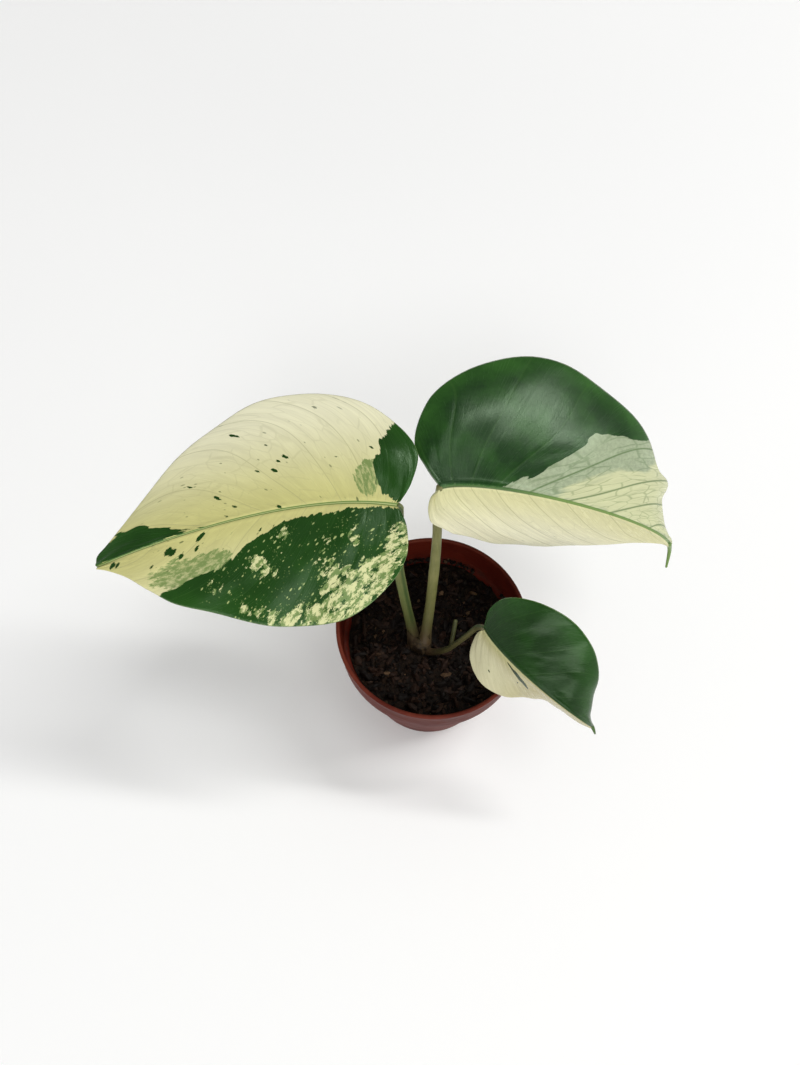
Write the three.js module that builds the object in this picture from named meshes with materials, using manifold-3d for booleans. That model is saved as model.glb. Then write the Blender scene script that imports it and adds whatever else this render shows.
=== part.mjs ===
// Potted jungle mint monstera: a young climbing aroid with three variegated leaves in a small nursery pot.
// Millimetres, +Z up. The origin is the centre of the pot's underside, and +Y points away from the viewer.
import * as THREE from 'three';
import { mergeVertices } from 'three/addons/utils/BufferGeometryUtils.js';
import Module from 'manifold-3d';

const wasm = await Module();
wasm.setup();

// Driving dimensions
const POT_HEIGHT = 52;
const RIM_RADIUS = 30;
const COLLAR_HEIGHT = 12.5;
const POT_WALL = 1;
const POT_FLOOR = 1.6;
const BASE_RADIUS = 21;
const STEP_WIDTH = 1.6;
const DRAIN_HOLES = 6;
const DRAIN_RADIUS = 2.4;
const DRAIN_CIRCLE = 14;
const SOIL_TOP = 39;
const GAP = 0.3;
const SLIVER = 0.005;
const BLADE_THICKNESS = 0.7;
const BLADE_RIPPLES = 6.5;
const SOIL_HUMPS = 46;
const CRUMB_COUNT = 34;

// The crown is where the petioles' sheaths leave the short stem
const CROWN = new THREE.Vector3(-3.5, -2.7, SOIL_TOP);
const STEM_TOP = 5;
const STEM_DEPTH = 14;
const STEM_RADIUS = 3.3;

// Meshing counts
const POT_SIDES = 64;
const DRAIN_SIDES = 16;
const STEM_SIDES = 20;
const SOIL_SIDES = 40;
const SOIL_RINGS = 9;
const BLADE_COLUMNS = 30;
const BLADE_ROWS = 6;
const ROOT_SIDES = 7;
const ROOT_STEPS = 9;
const PETIOLE_SIDES = 10;
const PETIOLE_STEPS = 22;

// Each leaf is described from its base to its tip, seen from above. A margin is a list of flat points:
// distance along the midrib, then distance out from it. fold is the droop of a half beside the midrib and
// curl is its bend per millimetre outwards, both in degrees, at the base and at the tip.
const LEFT_LEAF = {
  midrib: [[-10.9, 7.9, 115], [-34.9, 10.9, 116.5], [-67.1, 1.6, 111.5], [-89.1, -2.9, 101]],
  roll: [-12, -6],
  spread: 2.2,
  rib: [1.25, 0.6],
  leftHand: {
    fold: [-2, 4],
    curl: [0.9, 0.9],
    wave: 0.5,
    margin: [
      [-1, 1.2], [-3.2, 5.5], [-3.9, 12.5], [-1, 19.5], [5, 25.6], [13.5, 29.3], [24.2, 30.5], [35, 29.2],
      [45, 25.7], [54.5, 20.7], [62.8, 16.1], [68, 11.3], [72.8, 6.2], [78, 2.4], [81.3, 0.7],
    ],
  },
  rightHand: {
    fold: [-6, 0],
    curl: [0.5, 0.6],
    wave: 0.4,
    margin: [
      [-1, 1.2], [-3.3, 6.5], [-3.9, 14.5], [2.1, 21.9], [9.9, 28.1], [21, 32.3], [32, 32.2], [43, 28.3],
      [53, 22.4], [63, 15.3], [72.2, 7.8], [77.6, 4.7], [80.6, 2.7], [81.3, 0.7],
    ],
  },
};

const RIGHT_LEAF = {
  midrib: [[0.7, 14.8, 111.9], [12.1, 17.2, 114.5], [63.7, 13, 96], [71.3, 18.5, 70]],
  roll: [12.5, 19],
  spread: 2.2,
  rib: [1.25, 0.6],
  dripTip: [[71.1, 18.3, 71], [72.6, 18.4, 65.6], [72, 14.6, 62.4]],
  leftHand: {
    fold: [-5, -9],
    curl: [0.35, 0.05],
    wave: 0.6,
    margin: [
      [-1, 1.2], [-3.2, 5.6], [-5.3, 12], [-3.4, 19], [1.8, 26.6], [9.8, 34], [20, 38.2], [31, 38],
      [42, 34.7], [52, 30.1], [61, 24.2], [68.5, 18.3], [73.6, 16.4], [75.3, 13.7], [73.5, 10.4], [73.6, 7],
      [77.5, 3.8], [82, 1.7], [86.4, 0.6],
    ],
  },
  rightHand: {
    fold: [58, 74],
    curl: [0.85, 0.1],
    wave: 0.4,
    margin: [
      [-1.3, 1.2], [-3.2, 3.8], [-3.9, 9], [-2.6, 14.6], [3.4, 19.8], [12.4, 23.1], [21, 26], [30, 27.2],
      [39.5, 25.8], [49, 22.8], [58, 18.2], [66, 12.7], [73.5, 6.6], [80, 2.4], [86.4, 0.6],
    ],
  },
};

const SMALL_LEAF = {
  midrib: [[14.1, -9.8, 73], [19.4, -22, 76.2], [38.9, -37.7, 76.1], [45.5, -34.1, 58]],
  roll: [30.7, 19.2],
  spread: 2.2,
  rib: [0.8, 0.65],
  leftHand: {
    fold: [-25, 7.7],
    curl: [0.12, 0.36],
    wave: 0.3,
    margin: [
      [-0.7, 0.9], [-2.4, 5.5], [-1.4, 11], [2.4, 15.7], [7.5, 18.8], [13.5, 20.6], [19.5, 20.4],
      [25.2, 18.7], [30.8, 15.9], [36, 12], [40, 8], [42.6, 4.4], [45.5, 2.2], [48.7, 0.5],
    ],
  },
  rightHand: {
    fold: [47, 103],
    curl: [-2, 0.3],
    wave: 0.2,
    margin: [
      [-0.7, 0.9], [-2.2, 5], [-1.4, 10.4], [2.4, 14.8], [7, 17.4], [12.1, 19], [17.4, 19.1], [22.7, 17.9],
      [27.5, 15.7], [32.2, 13.2], [36.8, 10.3], [41, 6.8], [45, 3], [48.7, 1],
    ],
  },
};

// Petioles run from the crown up to their blade, which they meet along its midrib
const LEFT_PETIOLE = {
  path: [[-5.3, -1.3, 40], [-6.5, 1, 48], [-8.5, 3.8, 62], [-10.1, 5.8, 77], [-10.7, 6.8, 91],
    [-10.4, 7.5, 106], [-10.5, 7.9, 114]],
  radius: [1.6, 1.45, 1.3],
};
const RIGHT_PETIOLE = {
  path: [[-2.2, -2.4, 41.8], [-1.7, 0, 46], [-0.6, 5, 59], [0.2, 10, 77], [0.4, 12.7, 89], [0.2, 15.2, 101],
    [0.5, 15.3, 111.2]],
  radius: [1.7, 1.6, 1.1],
};
const SMALL_PETIOLE = {
  path: [[-1.4, -4.4, 38.9], [-0.2, -5.1, 40.2], [1.6, -5.9, 42.4], [4.6, -7, 48], [7.1, -7.3, 54],
    [10.1, -7.4, 62], [12.3, -7.6, 68.6], [13.8, -9.1, 72.6]],
  radius: [0.95, 0.85, 0.8],
};
const STUB = {
  path: [[5.9, -4.2, 33], [6.3, -2.8, 38.5], [7, 0, 42.3], [7.7, 3, 46.4]],
  radius: [0.8, 0.7, 0.65],
};

// Thick roots leave the buried stem in these directions, in degrees round +Z, and droop to their depth
const ROOTS = [
  { turn: 15, reach: 15, depth: 17 },
  { turn: 80, reach: 13, depth: 22 },
  { turn: 140, reach: 11, depth: 15 },
  { turn: 200, reach: 12, depth: 24 },
  { turn: 265, reach: 14, depth: 19 },
  { turn: 320, reach: 16, depth: 25 },
];
const ROOT_RADIUS = [1.2, 0.9, 0.6];
const DRIP_RADIUS = [0.7, 0.6, 0.45];

// A repeatable stream of numbers from 0 to 1
function seededStream(seed) {
  let state = seed;
  return () => {
    state = (state + 0x6d2b79f5) | 0;
    let mixed = Math.imul(state ^ (state >>> 15), 1 | state);
    mixed = (mixed + Math.imul(mixed ^ (mixed >>> 7), 61 | mixed)) ^ mixed;
    return ((mixed ^ (mixed >>> 14)) >>> 0) / 4294967296;
  };
}

function vectors(points) {
  return points.map((point) => new THREE.Vector3(...point));
}

// Value at t of a quantity given at the start, middle and end
function threePoint(values, t) {
  const [start, middle, end] = values;
  return t < 0.5 ? THREE.MathUtils.lerp(start, middle, 2 * t) : THREE.MathUtils.lerp(middle, end, 2 * t - 1);
}

// Solid from a geometry: coincident vertices are merged and collapsed triangles dropped
function toSolid(geometry) {
  const bare = geometry.clone();
  bare.deleteAttribute('normal');
  bare.deleteAttribute('uv');
  const merged = mergeVertices(bare, 1e-4);
  const index = merged.index.array;
  const triangles = [];
  for (let i = 0; i < index.length; i += 3) {
    const [a, b, c] = [index[i], index[i + 1], index[i + 2]];
    if (a !== b && b !== c && c !== a) triangles.push(a, b, c);
  }
  return new wasm.Manifold(new wasm.Mesh({
    numProp: 3,
    vertProperties: new Float32Array(merged.attributes.position.array),
    triVerts: new Uint32Array(triangles),
  }));
}

// Geometry from a solid, with the slivers that cuts leave smoothed away
function toGeometry(solid) {
  const mesh = solid.simplify(SLIVER).getMesh();
  const geometry = new THREE.BufferGeometry();
  geometry.setAttribute('position', new THREE.BufferAttribute(new Float32Array(mesh.vertProperties), 3));
  geometry.setIndex(new THREE.BufferAttribute(new Uint32Array(mesh.triVerts), 1));
  return geometry;
}

// Closed geometry from vertices and triangles
function geometryFrom(points, triangles) {
  const geometry = new THREE.BufferGeometry();
  geometry.setAttribute('position', new THREE.Float32BufferAttribute(points.flatMap((p) => p.toArray()), 3));
  geometry.setIndex(triangles);
  return geometry;
}

// Tapered round shoot along a curve, closed at both ends, grown outwards by an allowance
function shoot({ path, radius }, sides, steps, allowance = 0) {
  const curve = new THREE.CatmullRomCurve3(vectors(path));
  const frames = curve.computeFrenetFrames(steps);
  const points = [];
  for (let i = 0; i <= steps; i += 1) {
    const centre = curve.getPointAt(i / steps);
    const size = threePoint(radius, i / steps) + allowance;
    for (let j = 0; j < sides; j += 1) {
      const turn = (2 * Math.PI * j) / sides;
      points.push(centre.clone()
        .addScaledVector(frames.normals[i], size * Math.cos(turn))
        .addScaledVector(frames.binormals[i], size * Math.sin(turn)));
    }
  }
  const startCap = points.push(curve.getPointAt(0).addScaledVector(frames.tangents[0], -allowance)) - 1;
  const endCap = points.push(curve.getPointAt(1).addScaledVector(frames.tangents[steps], allowance)) - 1;
  const triangles = [];
  for (let j = 0; j < sides; j += 1) {
    const k = (j + 1) % sides;
    for (let i = 0; i < steps; i += 1) {
      const [near, far] = [i * sides, (i + 1) * sides];
      triangles.push(near + j, near + k, far + k, near + j, far + k, far + j);
    }
    triangles.push(startCap, k, j, endCap, steps * sides + j, steps * sides + k);
  }
  return geometryFrom(points, triangles);
}

// Solid of revolution about +Z from a profile of radius and height
function turned(profile, sides) {
  const outline = profile.map(([radius, height]) => new THREE.Vector2(radius, height));
  return new THREE.LatheGeometry(outline, sides).rotateX(Math.PI / 2);
}

// Inner wall of the pot at a height: the collar, then the step, then the tapered body
const STEP_HEIGHT = POT_HEIGHT - COLLAR_HEIGHT;
const BODY_TOP_RADIUS = RIM_RADIUS - 2 * POT_WALL - STEP_WIDTH + 0.5;

function potInnerRadius(height) {
  const base = BASE_RADIUS - POT_WALL;
  return THREE.MathUtils.lerp(base, BODY_TOP_RADIUS, (height - POT_FLOOR) / (STEP_HEIGHT - POT_FLOOR));
}

function buildPot() {
  const collarFoot = RIM_RADIUS - 0.8;
  const ledge = STEP_HEIGHT + 0.7;
  let pot = toSolid(turned([
    [0, 0], [BASE_RADIUS - 0.8, 0], [BASE_RADIUS, 0.8],
    [BODY_TOP_RADIUS + POT_WALL, STEP_HEIGHT - 0.3], [collarFoot, STEP_HEIGHT - 0.3],
    [RIM_RADIUS - 0.25, POT_HEIGHT - 1.6], [RIM_RADIUS, POT_HEIGHT - 1],
    [RIM_RADIUS - 0.15, POT_HEIGHT - 0.2], [RIM_RADIUS - 0.6, POT_HEIGHT], [RIM_RADIUS - POT_WALL - 0.2, POT_HEIGHT - 0.3],
    [collarFoot - POT_WALL, ledge], [BODY_TOP_RADIUS + 0.2, ledge], [BODY_TOP_RADIUS, ledge - 0.4],
    [BASE_RADIUS - POT_WALL, POT_FLOOR], [0, POT_FLOOR],
  ], POT_SIDES));
  for (let i = 0; i < DRAIN_HOLES; i += 1) {
    const turn = (2 * Math.PI * (i + 0.5)) / DRAIN_HOLES;
    const hole = new THREE.CylinderGeometry(DRAIN_RADIUS, DRAIN_RADIUS, 3 * POT_FLOOR, DRAIN_SIDES);
    hole.rotateX(Math.PI / 2);
    hole.translate(DRAIN_CIRCLE * Math.cos(turn), DRAIN_CIRCLE * Math.sin(turn), POT_FLOOR / 2);
    pot = pot.subtract(toSolid(hole));
  }
  return pot;
}

// Height of the soil's uneven top: low humps and dips from a seeded rule, flattening to the wall
function soilRelief() {
  const next = seededStream(11);
  const humps = Array.from({ length: SOIL_HUMPS }, () => {
    const away = 25 * Math.sqrt(next());
    const turn = 2 * Math.PI * next();
    return {
      x: away * Math.cos(turn),
      y: away * Math.sin(turn),
      height: 1.5 * (next() - 0.45),
      width: 2.2 + 2.4 * next(),
    };
  });
  return (x, y) => humps.reduce((sum, hump) => {
    const distance = Math.hypot(x - hump.x, y - hump.y) / hump.width;
    return sum + hump.height * Math.exp(-distance * distance);
  }, SOIL_TOP);
}

function buildSoil(relief, buried) {
  const bottom = POT_FLOOR + GAP;
  const wall = potInnerRadius(SOIL_TOP) - GAP;
  const profile = [[0, bottom], [potInnerRadius(bottom) - GAP, bottom], [wall, SOIL_TOP]];
  for (let i = SOIL_RINGS - 1; i >= 0; i -= 1) profile.push([(wall * i) / SOIL_RINGS, SOIL_TOP]);
  const geometry = turned(profile, SOIL_SIDES);
  const position = geometry.attributes.position;
  for (let i = 0; i < position.count; i += 1) {
    const [x, y, z] = [position.getX(i), position.getY(i), position.getZ(i)];
    const inside = Math.min(1, (wall + 0.01 - Math.hypot(x, y)) / 2);
    if (z > SOIL_TOP - 1) position.setZ(i, SOIL_TOP + inside * (relief(x, y) - SOIL_TOP));
  }
  const crumbs = soilCrumbs(relief, wall);
  return wasm.Manifold.union([toSolid(geometry), ...crumbs]).subtract(buried);
}

// Bark crumbs: squat turned pebbles half sunk in the surface, clear of the stem and of the wall
function soilCrumbs(relief, wall) {
  const next = seededStream(23);
  const crumbs = [];
  while (crumbs.length < CRUMB_COUNT) {
    const away = wall * Math.sqrt(next());
    const turn = 2 * Math.PI * next();
    const [x, y] = [away * Math.cos(turn), away * Math.sin(turn)];
    const size = 0.8 + 1.1 * next();
    const shape = new THREE.IcosahedronGeometry(size, 0).scale(1.3, 0.8, 0.55);
    shape.rotateX(0.6 * (next() - 0.5)).rotateZ(2 * Math.PI * next());
    const clearOfWall = away + 1.4 * size < wall;
    const clearOfStem = Math.hypot(x - CROWN.x - 1.5, y - CROWN.y) > 6.5 + size;
    const clearOfStub = Math.hypot(x - 6.3, y + 2.6) > 2 + size;
    if (clearOfWall && clearOfStem && clearOfStub) {
      crumbs.push(toSolid(shape.translate(x, y, relief(x, y) + 0.1 * size)));
    }
  }
  return crumbs;
}

// The stem with its roots. The allowance grows the whole of it, for the hole that it stands in.
function stemBody(allowance) {
  const profile = [
    [0, -STEM_DEPTH - allowance], [STEM_RADIUS * 0.55 + allowance, -STEM_DEPTH - allowance],
    [STEM_RADIUS * 0.8 + allowance, -STEM_DEPTH * 0.6], [STEM_RADIUS + allowance, -STEM_DEPTH * 0.2],
    [STEM_RADIUS * 1.04 + allowance, STEM_TOP * 0.3], [STEM_RADIUS * 0.86 + allowance, STEM_TOP * 0.75],
    [STEM_RADIUS * 0.5 + allowance, STEM_TOP + allowance], [0, STEM_TOP + allowance],
  ];
  const axis = turned(profile, STEM_SIDES).scale(1, 0.82, 1).rotateZ(-0.5).translate(CROWN.x, CROWN.y, CROWN.z);
  const roots = ROOTS.map(({ turn, reach, depth }) => {
    const [x, y] = [Math.cos(THREE.MathUtils.degToRad(turn)), Math.sin(THREE.MathUtils.degToRad(turn))];
    const at = (part, drop) => [CROWN.x + x * reach * part, CROWN.y + y * reach * part, SOIL_TOP - drop];
    const path = [at(0, 8), at(0.35, 9), at(0.7, 9 + 0.35 * (depth - 9)), at(1, depth)];
    return toSolid(shoot({ path, radius: ROOT_RADIUS }, ROOT_SIDES, ROOT_STEPS, allowance));
  });
  return wasm.Manifold.union([toSolid(axis), ...roots]);
}

// Arc length along the midrib, and the frame there: along, to the left hand and up, turned by the leaf's roll
function midribFrame(leaf, curve, length, along) {
  const part = THREE.MathUtils.clamp(along / length, 0, 1);
  const heading = curve.getTangentAt(part);
  const centre = curve.getPointAt(part).addScaledVector(heading, Math.min(0, along));
  const level = new THREE.Vector3(0, 0, 1).cross(heading).normalize();
  const roll = THREE.MathUtils.degToRad(THREE.MathUtils.lerp(...leaf.roll, part));
  const side = level.applyAxisAngle(heading, roll);
  const up = heading.clone().cross(side);
  return { part, centre, side, up };
}

// Where a flat point of the blade lies, and its normal there. A half bends down from the midrib along an arc.
function bladePoint(leaf, half, hand, curve, length, along, out) {
  const { part, centre, side, up } = midribFrame(leaf, curve, length, along);
  const fold = THREE.MathUtils.degToRad(THREE.MathUtils.lerp(...half.fold, part));
  const curl = THREE.MathUtils.degToRad(THREE.MathUtils.lerp(...half.curl, part));
  const bend = fold + curl * out;
  const across = (Math.sin(bend) - Math.sin(fold)) / curl;
  const rise = (Math.cos(bend) - Math.cos(fold)) / curl;
  return {
    point: centre.addScaledVector(side, hand * across).addScaledVector(up, rise),
    normal: side.clone().multiplyScalar(hand * Math.sin(bend)).addScaledVector(up, Math.cos(bend)),
  };
}

// Grid of points over a blade. Columns run from the base to the tip, rows from the right hand's margin
// over the midrib to the left hand's. The first row beside the midrib is at the rib's edge. The allowance
// widens the grid and starts it further back.
function bladeGrid(leaf, allowance) {
  const curve = new THREE.CubicBezierCurve3(...vectors(leaf.midrib));
  const length = curve.getLength();
  const halves = [[leaf.rightHand, -1], [leaf.leftHand, 1]];
  const outlines = halves.map(([{ margin }]) => (
    new THREE.SplineCurve(margin.map((flat) => new THREE.Vector2(...flat)))));
  const grid = [];
  for (let i = 0; i <= BLADE_COLUMNS; i += 1) {
    const w = i / BLADE_COLUMNS;
    const root = length * w ** leaf.spread;
    const ribRadius = THREE.MathUtils.lerp(...leaf.rib, w);
    const [right, left] = halves.map(([half, hand], side) => {
      const edge = outlines[side].getPoint(w);
      const first = Math.min(0.6, ribRadius / edge.y);
      const rows = [];
      for (let j = 0; j <= BLADE_ROWS; j += 1) {
        const r = j === 0 ? 0 : first + ((1 - first) * (j - 1)) / (BLADE_ROWS - 1);
        const along = root + r * (edge.x - root) - allowance;
        const place = bladePoint(leaf, half, hand, curve, length, along, r * (edge.y + allowance));
        const ripple = Math.sin(2 * Math.PI * BLADE_RIPPLES * w + 5 * hand) * Math.sin(Math.PI * w);
        rows.push({ ...place, ripple: half.wave * r ** 3 * ripple });
      }
      return rows;
    });
    const middle = { ...left[0], normal: left[0].normal.clone().add(right[0].normal).normalize() };
    grid.push([...right.slice(1).reverse(), middle, ...left.slice(1)]);
  }
  return grid;
}

// Closed blade: the grid offset up and down along its normals, with the rib as a ridge under the midrib.
// The allowance grows the whole of it, for the room that its petiole leaves round it.
function buildBlade(leaf, allowance = 0) {
  const grid = bladeGrid(leaf, allowance);
  const rows = grid[0].length;
  const columns = grid.length;
  const flat = grid.flat();
  const at = (i, j) => i * rows + j;
  const ribAt = (n) => THREE.MathUtils.lerp(...leaf.rib, Math.floor(n / rows) / columns);
  const ribDepth = (n) => (n % rows === BLADE_ROWS ? ribAt(n) : 0);
  const offset = (height) => flat.map(({ point, normal, ripple }, n) => (
    point.clone().addScaledVector(normal, ripple + height(n))));
  const top = offset(() => BLADE_THICKNESS / 2 + allowance);
  const under = offset((n) => -BLADE_THICKNESS / 2 - ribDepth(n) - allowance);
  const triangles = [];
  for (let i = 0; i < columns - 1; i += 1) {
    for (let j = 0; j < rows - 1; j += 1) {
      const [a, b, c, d] = [at(i, j), at(i + 1, j), at(i + 1, j + 1), at(i, j + 1)];
      triangles.push(a, b, c, a, c, d);
      triangles.push(...[a, c, b, a, d, c].map((n) => n + flat.length));
    }
  }
  const wall = (a, b) => triangles.push(a, a + flat.length, b + flat.length, a, b + flat.length, b);
  for (let i = 0; i < columns - 1; i += 1) {
    wall(at(i, 0), at(i + 1, 0));
    wall(at(i + 1, rows - 1), at(i, rows - 1));
  }
  for (let j = 0; j < rows - 1; j += 1) {
    wall(at(0, j + 1), at(0, j));
    wall(at(columns - 1, j), at(columns - 1, j + 1));
  }
  const blade = toSolid(geometryFrom([...top, ...under], triangles));
  if (!leaf.dripTip) return blade;
  return blade.add(toSolid(shoot({ path: leaf.dripTip, radius: DRIP_RADIUS }, ROOT_SIDES, ROOT_STEPS)));
}

function petiole(spec, allowance = 0) {
  return toSolid(shoot(spec, PETIOLE_SIDES, PETIOLE_STEPS, allowance));
}

// The petiole's top is cut to fit close under the base of its blade
function fittedPetiole(spec, leaf) {
  const pieces = petiole(spec).subtract(buildBlade(leaf, GAP)).decompose();
  return pieces.reduce((best, piece) => (piece.volume() > best.volume() ? piece : best));
}

// Finishes, one for each kind of surface
const FINISHES = {
  pot: { color: 0x7a3a28, roughness: 0.5, metalness: 0 },
  soil: { color: 0x1e140e, roughness: 0.95, metalness: 0 },
  stem: { color: 0x5a4a30, roughness: 0.6, metalness: 0 },
  petiole: { color: 0x6c7040, roughness: 0.45, metalness: 0 },
  creamLeaf: { color: 0xcfd2a0, roughness: 0.4, metalness: 0 },
  greenLeaf: { color: 0x1f4a1c, roughness: 0.35, metalness: 0 },
};

const plant = new THREE.Group();

function place(name, solid, finish) {
  const mesh = new THREE.Mesh(toGeometry(solid), new THREE.MeshStandardMaterial(FINISHES[finish]));
  mesh.name = name;
  plant.add(mesh);
}

// The petioles' feet stand in sockets in the stem, and stem and stub stand in plain holes in the soil
const petioles = [LEFT_PETIOLE, RIGHT_PETIOLE, SMALL_PETIOLE];
const sockets = wasm.Manifold.union(petioles.map((spec) => petiole(spec, GAP)));
const buried = wasm.Manifold.union([stemBody(GAP), petiole(STUB, GAP), sockets]);
place('pot', buildPot(), 'pot');
place('soil', buildSoil(soilRelief(), buried), 'soil');
place('stem', stemBody(0).subtract(sockets), 'stem');
place('petiole_left', fittedPetiole(LEFT_PETIOLE, LEFT_LEAF), 'petiole');
place('petiole_right', fittedPetiole(RIGHT_PETIOLE, RIGHT_LEAF), 'petiole');
place('petiole_small', fittedPetiole(SMALL_PETIOLE, SMALL_LEAF), 'petiole');
place('petiole_stub', petiole(STUB), 'petiole');
place('leaf_left', buildBlade(LEFT_LEAF), 'creamLeaf');
place('leaf_right', buildBlade(RIGHT_LEAF), 'greenLeaf');
place('leaf_small', buildBlade(SMALL_LEAF), 'greenLeaf');

export default plant;
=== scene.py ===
"""Visual model of a potted jungle mint monstera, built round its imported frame.

Sizes are millimetres, in the frame's axes, until a mesh is made, where they become metres. Materials read
Object coordinates, which are metres.
"""
import logging
import math
from collections.abc import Callable
from dataclasses import dataclass, field
from enum import Enum
from functools import cached_property

import bmesh
import bpy
import numpy as np
from mathutils import Matrix


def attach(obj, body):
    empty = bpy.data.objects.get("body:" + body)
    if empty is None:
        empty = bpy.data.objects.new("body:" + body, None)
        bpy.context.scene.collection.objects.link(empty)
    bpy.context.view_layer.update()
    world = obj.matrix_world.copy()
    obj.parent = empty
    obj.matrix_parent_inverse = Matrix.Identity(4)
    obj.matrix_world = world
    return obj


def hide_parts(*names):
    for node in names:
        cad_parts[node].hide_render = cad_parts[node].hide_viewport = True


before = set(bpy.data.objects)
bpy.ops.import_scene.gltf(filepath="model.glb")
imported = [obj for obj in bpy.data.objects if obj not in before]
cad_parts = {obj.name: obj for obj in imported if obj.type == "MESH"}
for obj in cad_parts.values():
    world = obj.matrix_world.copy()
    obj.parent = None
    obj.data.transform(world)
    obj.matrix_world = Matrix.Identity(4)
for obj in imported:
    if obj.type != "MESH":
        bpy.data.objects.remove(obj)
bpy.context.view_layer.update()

MM = 0.001
LOG = logging.getLogger("monstera")

Array = np.ndarray
Colour = tuple[float, float, float]
Point = tuple[float, float, float]
FlatPoint = tuple[float, float]
Spot = tuple[float, float, float, float]


class Slot(Enum):
    """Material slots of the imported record."""

    POT = "pot"
    SOIL = "soil"
    STEM = "stem"
    PETIOLE = "petiole"
    CREAM_LEAF = "leaf_cream"
    GREEN_LEAF = "leaf_green"


class Hand(Enum):
    """The two halves of a blade, seen from above with the tip ahead. The value is the sign of its side."""

    LEFT = 1
    RIGHT = -1


def srgb(red: int, green: int, blue: int) -> Colour:
    """Linear colour from display values of 0 to 255."""
    parts = (value / 255 for value in (red, green, blue))
    return tuple(((part + 0.055) / 1.055) ** 2.4 if part > 0.0393 else part / 12.92 for part in parts)


def smoothstep(low: float, high: float, value: Array) -> Array:
    """Cubic ramp from 0 at low to 1 at high."""
    t = np.clip((value - low) / (high - low), 0, 1)
    return t * t * (3 - 2 * t)


def between(pair: tuple[float, float], part: Array) -> Array:
    """The value a part of the way from the first of a pair to the second."""
    return pair[0] + (pair[1] - pair[0]) * part


def bell(distance: Array, width: float | Array) -> Array:
    """Gaussian bell: 1 in the middle, falling to 1/e at the width."""
    return np.exp(-(distance / width) ** 2)


def full_turn(count: int) -> Array:
    """Angles of so many even steps round a circle, the last one step short of the first."""
    return np.linspace(0, 2 * np.pi, count, endpoint=False)


def lattice_noise(x: Array, y: Array, seed: int) -> Array:
    """Smooth noise from 0 to 1: seeded random values on a unit square lattice, blended with a cubic ramp."""
    size = 64
    table = np.random.RandomState(seed).rand(size, size)
    i, j = np.floor(x).astype(int), np.floor(y).astype(int)
    blend_x, blend_y = smoothstep(0, 1, x - i), smoothstep(0, 1, y - j)
    near = table[i % size, j % size] * (1 - blend_x) + table[(i + 1) % size, j % size] * blend_x
    far = table[i % size, (j + 1) % size] * (1 - blend_x) + table[(i + 1) % size, (j + 1) % size] * blend_x
    return near * (1 - blend_y) + far * blend_y


def layered_noise(x: Array, y: Array, octaves: int, seed: int) -> Array:
    """Sum of lattice noise at doubling frequencies and halving heights, centred on 0."""
    return sum(0.5 ** k * (lattice_noise(x * 2 ** k, y * 2 ** k, seed + k) - 0.5) for k in range(octaves))


def spline(points: Array, t: Array) -> Array:
    """Uniform Catmull-Rom curve through points, with t from 0 to 1 and each end point counted twice."""
    count = len(points) - 1
    place = np.clip(t, 0, 1) * count
    cell = np.minimum(place.astype(int), count - 1)
    u = (place - cell)[..., None]
    before, start = points[np.maximum(cell - 1, 0)], points[cell]
    end, after = points[cell + 1], points[np.minimum(cell + 2, count)]
    leave, arrive = (end - before) / 2, (after - start) / 2
    cubic = (2 * start - 2 * end + leave + arrive) * u ** 3
    square = (3 * end - 3 * start - 2 * leave - arrive) * u ** 2
    return cubic + square + leave * u + start


def unit(vectors: Array) -> Array:
    """Vectors of length 1 in the same directions."""
    return vectors / np.maximum(np.linalg.norm(vectors, axis=-1, keepdims=True), 1e-9)


def arc_lengths(line: Array) -> Array:
    """Distance along a line of points from its first to each."""
    return np.concatenate([[0], np.cumsum(np.linalg.norm(np.diff(line, axis=0), axis=1))])


def steepness(values: Array, along: Array, out: Array) -> Array:
    """Change of a field for each millimetre of a flat grid.

    With d the differences down the grid and e those across it, the gradient is the pair (d value times
    e out less e value times d out, e value times d along less d value times e along) over the cell's area.
    """
    dv, dx, dy = (np.gradient(item, axis=0) for item in (values, along, out))
    ev, ex, ey = (np.gradient(item, axis=1) for item in (values, along, out))
    area = np.abs(dx * ey - dy * ex)
    return np.hypot(dv * ey - ev * dy, ev * dx - dv * ex) / np.maximum(area, 1e-6)


def signed_distance(points: Array, regions: list[list[FlatPoint]]) -> Array:
    """Distance to the edge of the nearest region: positive inside, negative outside.

    The distance to a polygon is the least distance to its sides, and a point is inside where a ray to the
    right of it crosses an odd number of sides. Of several regions the greatest value counts.

    Args:
        points: flat points.
        regions: closed polygons.

    Returns:
        One distance a point, in millimetres.
    """
    best = np.full(len(points), -1e3)
    for region in regions:
        start = np.array(region, float)
        end = np.roll(start, -1, axis=0)
        side = end - start
        gap = points[:, None] - start[None]
        t = np.clip((gap * side).sum(-1) / np.maximum((side ** 2).sum(-1), 1e-9), 0, 1)
        away = np.linalg.norm(gap - t[..., None] * side, axis=-1).min(1)
        straddles = (start[None, :, 1] > points[:, None, 1]) != (end[None, :, 1] > points[:, None, 1])
        rise = np.where(np.abs(side[:, 1]) < 1e-9, 1e-9, side[:, 1])
        crossing = start[:, 0] + (points[:, None, 1] - start[:, 1]) * side[:, 0] / rise
        inside = (straddles & (points[:, None, 0] < crossing)).sum(1) % 2 == 1
        best = np.maximum(best, np.where(inside, away, -away))
    return best


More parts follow.
